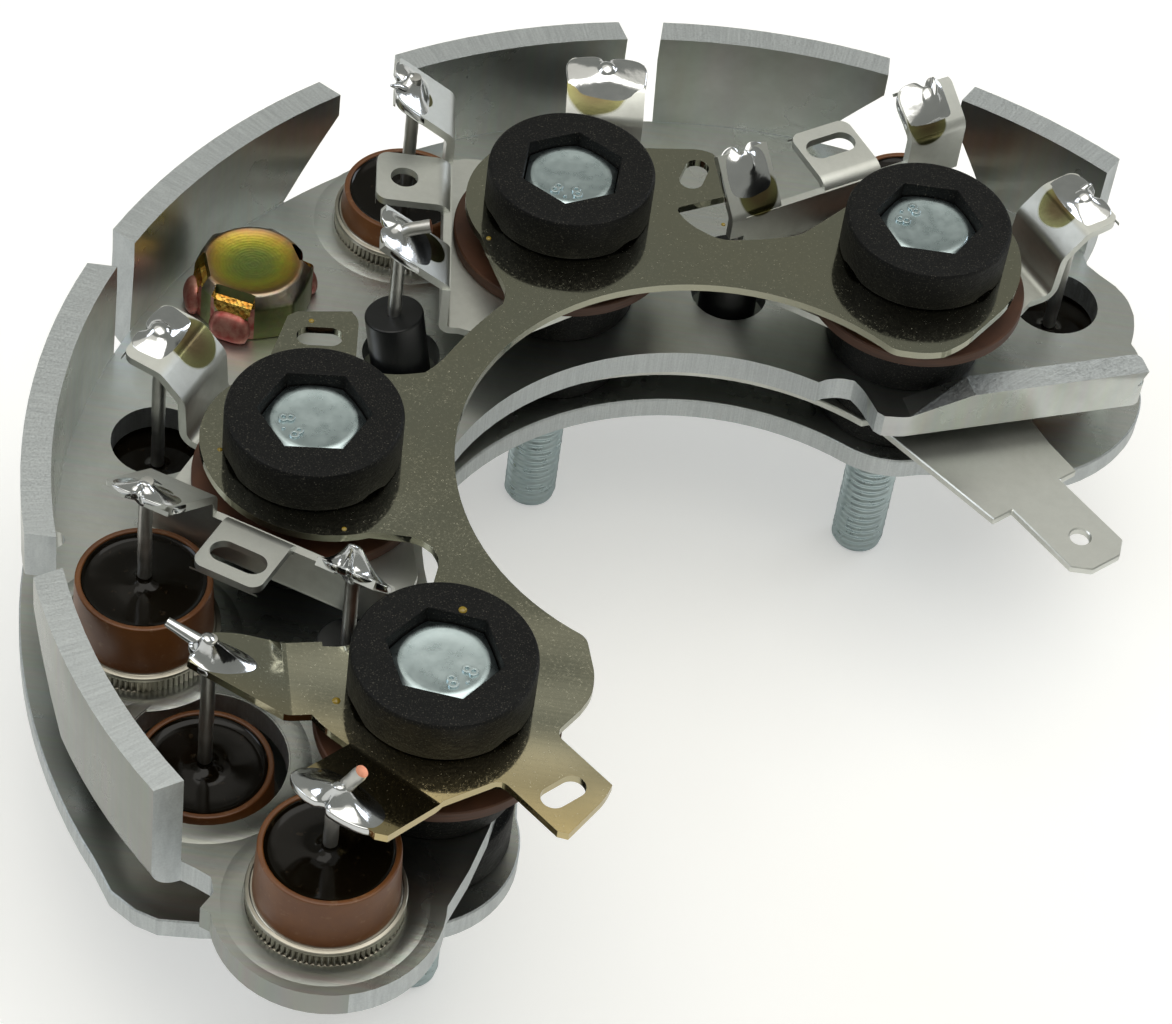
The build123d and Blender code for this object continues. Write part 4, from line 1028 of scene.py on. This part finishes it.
# Phase terminals and exciter strip: tinned brass sheet, blanked, folded and dull from storage.
# Flux from the soldering has run and dried amber near each joint.
# For each tab: the lead's place on the middle of the sheet, the turn of the way out in degrees, the slope,
# how far inwards the bend is, the slope beyond it, and how far the solder reaches out, in and to both sides
tabs = {
    "b_upper": ((-31.6, 35.7, 25.6), 187, 0.75, 2.9, 1.6, 1.84, 1.5, 2.7, 3.06),
    "b_lower": ((-14.926, 45.936, 22.1), 97, 0.17, 1.26, 0.9, 1.84, 2.5, 3.66, 3.66),
    "b_exciter": ((-30.3, 19.0, 23.4), 187, 0.746, 3.7, 1.8, 1.74, 3.1, 2.66, 2.66),
    "c_upper": ((14.833, 45.651, 24.6), 126, 0.75, 1.3, 2.2, 1.84, 1.9, 1.9, 3.06),
    "c_lower": ((29.6, 38.2, 22.1), 36, 0.17, 1.26, 0.9, 1.84, 2.3, 2.9, 3.5),
    "c_exciter": ((-0.8, 34.4, 22.45), 126, 1.158, 1.6, 1.158, 2.0, 1.5, 2.66, 2.66),
    "a_upper": ((-45.6, -18.2, 26.6), 251, 0.75, 5.0, 1.6, 1.72, 2.4, 2.9, 3.06),
    "a_lower": ((-48.5, 3.6, 22.1), 161, 0.17, 1.26, 0.9, 1.84, 2.6, 3.66, 2.6),
    "a_exciter": ((-28.4, -19.9, 22.8), 251, 1.146, 1.9, 1.146, 1.9, 2.3, 3.0, 3.1),
    "neutral": ((-38.2, -30.3, 22.3), 193.65, 0.397, 6.0, 0.1, 1.8, 3.8, 1.7, 1.7),
    "front": ((-26.4, -42.4, 22.3), 239.3, 0.385, 6.2, 0.1, 1.7, 2.9, 3.9, 4.3)}


def on_tab(key, n, t, up=0.0):
    # A point of the sheet from its distances out of and along the tab
    spot, turn, slope, knee, beyond = tabs[key][:5]
    way = pointing(turn)
    over = Vector((-way.y, way.x, 0))
    level = slope * n if n > -knee else -slope * knee + beyond * (n + knee)
    return Vector(spot) + way * n + over * t + Vector((0, 0, level + up))


def stained_by(tree, place, spots):
    # Distance to the nearest flux pool, as a share of that pool's radius
    nearest = None
    for centre, size in spots:
        away = add(tree, "ShaderNodeVectorMath", {0: place, 1: centre * MM}, operation="DISTANCE")
        share = add(tree, "ShaderNodeMath", {0: away.outputs["Value"], 1: size * MM}, operation="DIVIDE")
        if nearest is None:
            nearest = share
        else:
            nearest = add(tree, "ShaderNodeMath", {0: nearest, 1: share}, operation="MINIMUM")
    ragged = add(tree, "ShaderNodeTexNoise", {"Vector": place, "Scale": 300.0, "Detail": 1.0})
    return add(tree, "ShaderNodeMath", {0: ragged, 1: 0.24, 2: nearest}, operation="MULTIPLY_ADD")


# Tinned brass: pale, cloudy and dull, with olive to amber stains that shine where the flux dried
tinned, tree, surface = finish("tinned_brass_sheet", Metallic=1.0, Roughness=0.36)
place = add(tree, "ShaderNodeTexCoord").outputs["Object"]
clouds = add(tree, "ShaderNodeTexNoise", {"Vector": place, "Scale": 130.0, "Detail": 6.0, "Roughness": 0.65})
fine = add(tree, "ShaderNodeTexNoise", {"Vector": place, "Scale": 1500.0, "Detail": 4.0, "Roughness": 0.6})
cloudy = add(tree, "ShaderNodeMapRange", {"Value": clouds, "From Min": 0.33, "From Max": 0.68})
tone = add(tree, "ShaderNodeMix", {0: cloudy, 6: colour("#DEE0DB"), 7: colour("#C3C5BF")}, data_type="RGBA")
pools = [(on_tab(key, n, t), size) for key, n, t, size in (
    ("b_upper", -0.6, 0.2, 1.2), ("b_lower", -1.0, 0.9, 3.0), ("b_exciter", -2.5, -0.9, 1.7),
    ("c_upper", -1.0, 0.9, 2.1), ("c_lower", -1.5, 0.7, 2.2), ("c_exciter", -0.9, -0.6, 2.1),
    ("a_upper", -1.6, 0.3, 1.2), ("a_lower", -1.9, -1.4, 2.4), ("a_exciter", -0.6, 0.2, 1.5))]
distance = stained_by(tree, place, pools)
stain = add(tree, "ShaderNodeMapRange", {"Value": distance, "From Min": 1.16, "From Max": 1.06, "To Max": 0.92})
depth = add(tree, "ShaderNodeMapRange", {"Value": distance, "From Min": 1.0, "From Max": 0.55})
amber = add(tree, "ShaderNodeMix", {0: depth, 6: colour("#77743F"), 7: colour("#574510")}, data_type="RGBA")
stained = add(tree, "ShaderNodeMix", {0: stain, 6: tone.outputs[2], 7: amber.outputs[2]}, data_type="RGBA")
link(tree, stained.outputs[2], surface.inputs["Base Color"])
satin = add(tree, "ShaderNodeMapRange", {"Value": clouds, "From Min": 0.3, "From Max": 0.7, "To Min": 0.34,
                                         "To Max": 0.50})
rough = add(tree, "ShaderNodeMix", {0: stain, 2: satin, 3: 0.16})
link(tree, rough, surface.inputs["Roughness"])
bump = add(tree, "ShaderNodeBump", {"Height": fine, "Strength": 0.10, "Distance": 0.00005})
link(tree, bump, surface.inputs["Normal"])
for name in ("phase_terminal_a", "phase_terminal_b", "phase_terminal_c", "exciter_strip"):
    piece = soften(name, 0.10, [tinned])


# Neutral ring: spring-hard sheet with a bright warm nickel plate, blanked in one piece.
# It mirrors the caps and carries hairline scratches and dust, and its front is painted more golden as a painted
# warm reflection.
nickel, tree, surface = finish("bright_nickel_plate", Metallic=1.0, Roughness=0.1)
place = add(tree, "ShaderNodeTexCoord").outputs["Object"]
clouds = add(tree, "ShaderNodeTexNoise", {"Vector": place, "Scale": 85.0, "Detail": 5.0, "Roughness": 0.6})
fine = add(tree, "ShaderNodeTexNoise", {"Vector": place, "Scale": 5200.0, "Detail": 3.0, "Roughness": 0.7})
cool = add(tree, "ShaderNodeMix", {0: clouds, 6: colour("#9FA193"), 7: colour("#ABA892")}, data_type="RGBA")
parts = add(tree, "ShaderNodeSeparateXYZ", {0: place})
# Painted reflection: towards the front the colour turns to a brighter gold
front = add(tree, "ShaderNodeMapRange", {"Value": parts.outputs["Y"], "From Min": -0.030, "From Max": -0.040})
tone = add(tree, "ShaderNodeMix", {0: front, 6: cool.outputs[2], 7: colour("#C6B587")}, data_type="RGBA")
dust = add(tree, "ShaderNodeMapRange", {"Value": fine, "From Min": 0.62, "From Max": 0.80, "To Max": 0.5})
spotted = add(tree, "ShaderNodeMix", {0: dust, 6: tone.outputs[2], 7: colour("#E4DEC8")}, data_type="RGBA")
link(tree, spotted.outputs[2], surface.inputs["Base Color"])
scratched = add(tree, "ShaderNodeMapping", {
    "Vector": place, "Rotation": (0, 0, 0.7), "Scale": (90.0, 3000.0, 90.0)})
scratches = add(tree, "ShaderNodeTexNoise", {"Vector": scratched, "Scale": 1.0, "Detail": 2.0})
rough = add(tree, "ShaderNodeMapRange", {"Value": fine, "From Min": 0.5, "From Max": 0.75, "To Min": 0.06,
                                         "To Max": 0.32})
link(tree, rough, surface.inputs["Roughness"])
waves = add(tree, "ShaderNodeTexNoise", {"Vector": place, "Scale": 90.0, "Detail": 1.0})
swells = add(tree, "ShaderNodeBump", {"Height": waves, "Strength": 0.5, "Distance": 0.0004})
bump = add(tree, "ShaderNodeBump", {
    "Height": scratches, "Strength": 0.02, "Distance": 0.00005, "Normal": swells})
link(tree, bump, surface.inputs["Normal"])
ring_piece = soften("neutral_ring", 0.10, [nickel], outline=3.0)


# Solder joints: bright tin-lead solder that wets the whole end of each tab and climbs the lead.
# Each joint is a concave tent, thin at the rim, with the fork of the tab showing as a dent in it.
solder, tree, surface = finish("bright_solder", Metallic=1.0, Roughness=0.12)
place = add(tree, "ShaderNodeTexCoord").outputs["Object"]
clouds = add(tree, "ShaderNodeTexNoise", {"Vector": place, "Scale": 420.0, "Detail": 3.0})
tone = add(tree, "ShaderNodeMix", {0: clouds, 6: colour("#BFC1C2"), 7: colour("#E4E6E7")}, data_type="RGBA")
link(tree, tone.outputs[2], surface.inputs["Base Color"])
rough = add(tree, "ShaderNodeMapRange", {"Value": clouds, "To Min": 0.05, "To Max": 0.22})
link(tree, rough, surface.inputs["Roughness"])
bump = add(tree, "ShaderNodeBump", {"Height": clouds, "Strength": 0.22, "Distance": 0.0003})
link(tree, bump, surface.inputs["Normal"])


def tent(key, rise, steep=2.6, lean=(0.0, 0.0), crown=0.66, square=3.6):
    # One joint on its tab: rise above the sheet, how steeply it falls, which way its top leans, the
    # radius of its crown, and how square its rim is
    out, inward, low, high = tabs[key][5:]
    seed = tabs[key][0][0]
    fork_dent = 0.34
    hole = 0.66
    top = rise + 0.34
    under = -0.44
    angles = [2 * math.pi * k / 72 for k in range(72)]

    def rim(a):
        c = math.cos(a)
        s = math.sin(a)
        along = abs(c) / (out if c > 0 else inward)
        across = abs(s) / (high if s > 0 else low)
        wrapped = (a + math.pi) % (2 * math.pi) - math.pi
        fork = 1 - fork_dent * math.exp(-(wrapped / 0.26) ** 2)
        wave = 1 + 0.05 * noise.noise(Vector((seed, 1.6 * c, 1.6 * s)))
        return (along ** square + across ** square) ** (-1 / square) * fork * wave

    def at(a, r, h, shift=0.0):
        return tuple(on_tab(key, r * math.cos(a) + lean[0] * shift, r * math.sin(a) + lean[1] * shift, h))

    rows = [(0.0, 0.55, rise + 0.28), (0.0, 0.9, rise + 0.12)]
    rows += [(s, 1.0, None) for s in (0.0, 0.05, 0.12, 0.21, 0.32, 0.45, 0.6, 0.75, 0.88, 0.96, 1.0)]
    rings = [[tuple(on_tab(key, lean[0], lean[1], top))]]
    for share, part, height in rows:
        ring = []
        for a in angles:
            r = crown * part + (rim(a) - crown) * share
            h = height
            if height is None:
                edge = 0.47 - 0.06 * share ** 8
                h = edge + (rise - edge) * (1 - share) ** steep
                h += 0.05 * noise.noise(Vector((seed + r * math.cos(a), r * math.sin(a), 3.0))) * (1 - share)
            ring.append(at(a, r, h, (h - 0.4) / max(rise, 1.0) * (1 - share)))
        rings.append(ring)
    for past, h in ((0.06, 0.3), (0.08, 0.0), (0.06, -0.3), (0.0, under)):
        rings.append([at(a, rim(a) + past, h) for a in angles])
    for share in (0.7, 0.45, 0.25, 0.1, 0.0):
        h = under - 0.75 * (1 - share) ** 2.6
        rings.append([at(a, hole + (rim(a) - hole) * share, h) for a in angles])
    rings.append([tuple(on_tab(key, 0, 0, -1.2))])
    return skin("solder", rings, solder, smooth=80)


joints = [
    tent("b_upper", 1.5, lean=(-0.1, -0.3), steep=2.0), tent("b_lower", 1.05, steep=1.5, crown=0.8),
    tent("b_exciter", 1.2, lean=(-0.4, -0.3), steep=2.0), tent("c_upper", 1.1, steep=1.4, crown=0.9),
    tent("c_lower", 1.1, steep=1.7, crown=0.8), tent("c_exciter", 1.3, lean=(0.6, 0.0), steep=1.6),
    tent("a_upper", 1.38, steep=2.0), tent("a_lower", 1.3, steep=1.7, crown=0.85),
    tent("a_exciter", 3.3, steep=1.9, square=2.4), tent("neutral", 2.3, steep=1.9, square=1.9),
    tent("front", 2.2, lean=(-0.1, 0.6), steep=1.8, square=2.3)]
# Drawn points and whiskers that the iron left
strokes = [
    ("neutral", [(0.6, -1.0, 0.5), (1.9, -1.7, 0.5), (3.2, -2.4, 0.5)], (0.62, 0.5, 0.4)),
    ("a_upper", [(0.0, 0.1, 1.5), (-0.4, -0.4, 1.75), (-0.9, -0.5, 1.6)], (0.2, 0.13, 0.04)),
    ("a_upper", [(0.0, -0.1, 1.5), (-0.7, 0.1, 1.8), (-1.5, 0.6, 1.3)], (0.18, 0.12, 0.04)),
    ("c_upper", [(0.3, -0.4, 0.8), (0.9, -0.8, 1.1), (1.4, -0.9, 1.1)], (0.5, 0.34, 0.12)),
    ("c_lower", [(0.5, 0.9, 0.6), (1.1, 1.0, 0.9), (1.6, 1.0, 0.9)], (0.42, 0.3, 0.12)),
    ("b_upper", [(0.9, 1.1, 0.5), (1.6, 1.5, 0.7), (2.2, 1.9, 0.7)], (0.42, 0.32, 0.12))]
for key, path, radii in strokes:
    joints.append(tube("solder", [tuple(on_tab(key, *point)) for point in path], radii, solder))
solder_piece = join("solder_joints_dressed", joints)
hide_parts("solder_joints")


# Flux drops: rosin flux that spat from the joints when they were soldered, and dried where it fell.
# They are low glossy amber beads on the caps, the ring and the plate.
amber_flux, tree, surface = finish("amber_flux", Base_Color="#8A7426", Roughness=0.12, IOR=1.53)
spots = ((-19.2, -23.4, 24.58, 0.36), (-41.0, -4.4, 20.3, 0.3), (-41.6, -6.2, 20.3, 0.22),
         (-36.6, 10.4, 20.3, 0.25), (-39.5, 14.6, 9.7, 0.4), (-26.3, 21.0, 20.3, 0.2),
         (-22.9, 24.0, 20.3, 0.24), (-2.4, 30.4, 20.3, 0.2), (-27.9, -31.0, 20.3, 0.34),
         (-21.2, -20.4, 20.3, 0.24), (-30.1, -12.9, 20.3, 0.22), (-40.9, 28.8, 9.7, 0.22),
         (-21.6, 47.9, 9.7, 0.26), (-47.0, 14.8, 9.7, 0.24))
drops = []
for x, y, z, size in spots:
    rings = [[(x, y, z - 0.05)], circle((x, y), size, z - 0.02, 16)]
    rings += [circle((x, y), size * wide, z + size * high, 16)
              for wide, high in ((0.94, 0.2), (0.7, 0.4), (0.35, 0.52))]
    rings.append([(x, y, z + size * 0.55)])
    drops.append(skin("drop", rings, amber_flux, smooth=70))
join("flux_drops", drops)
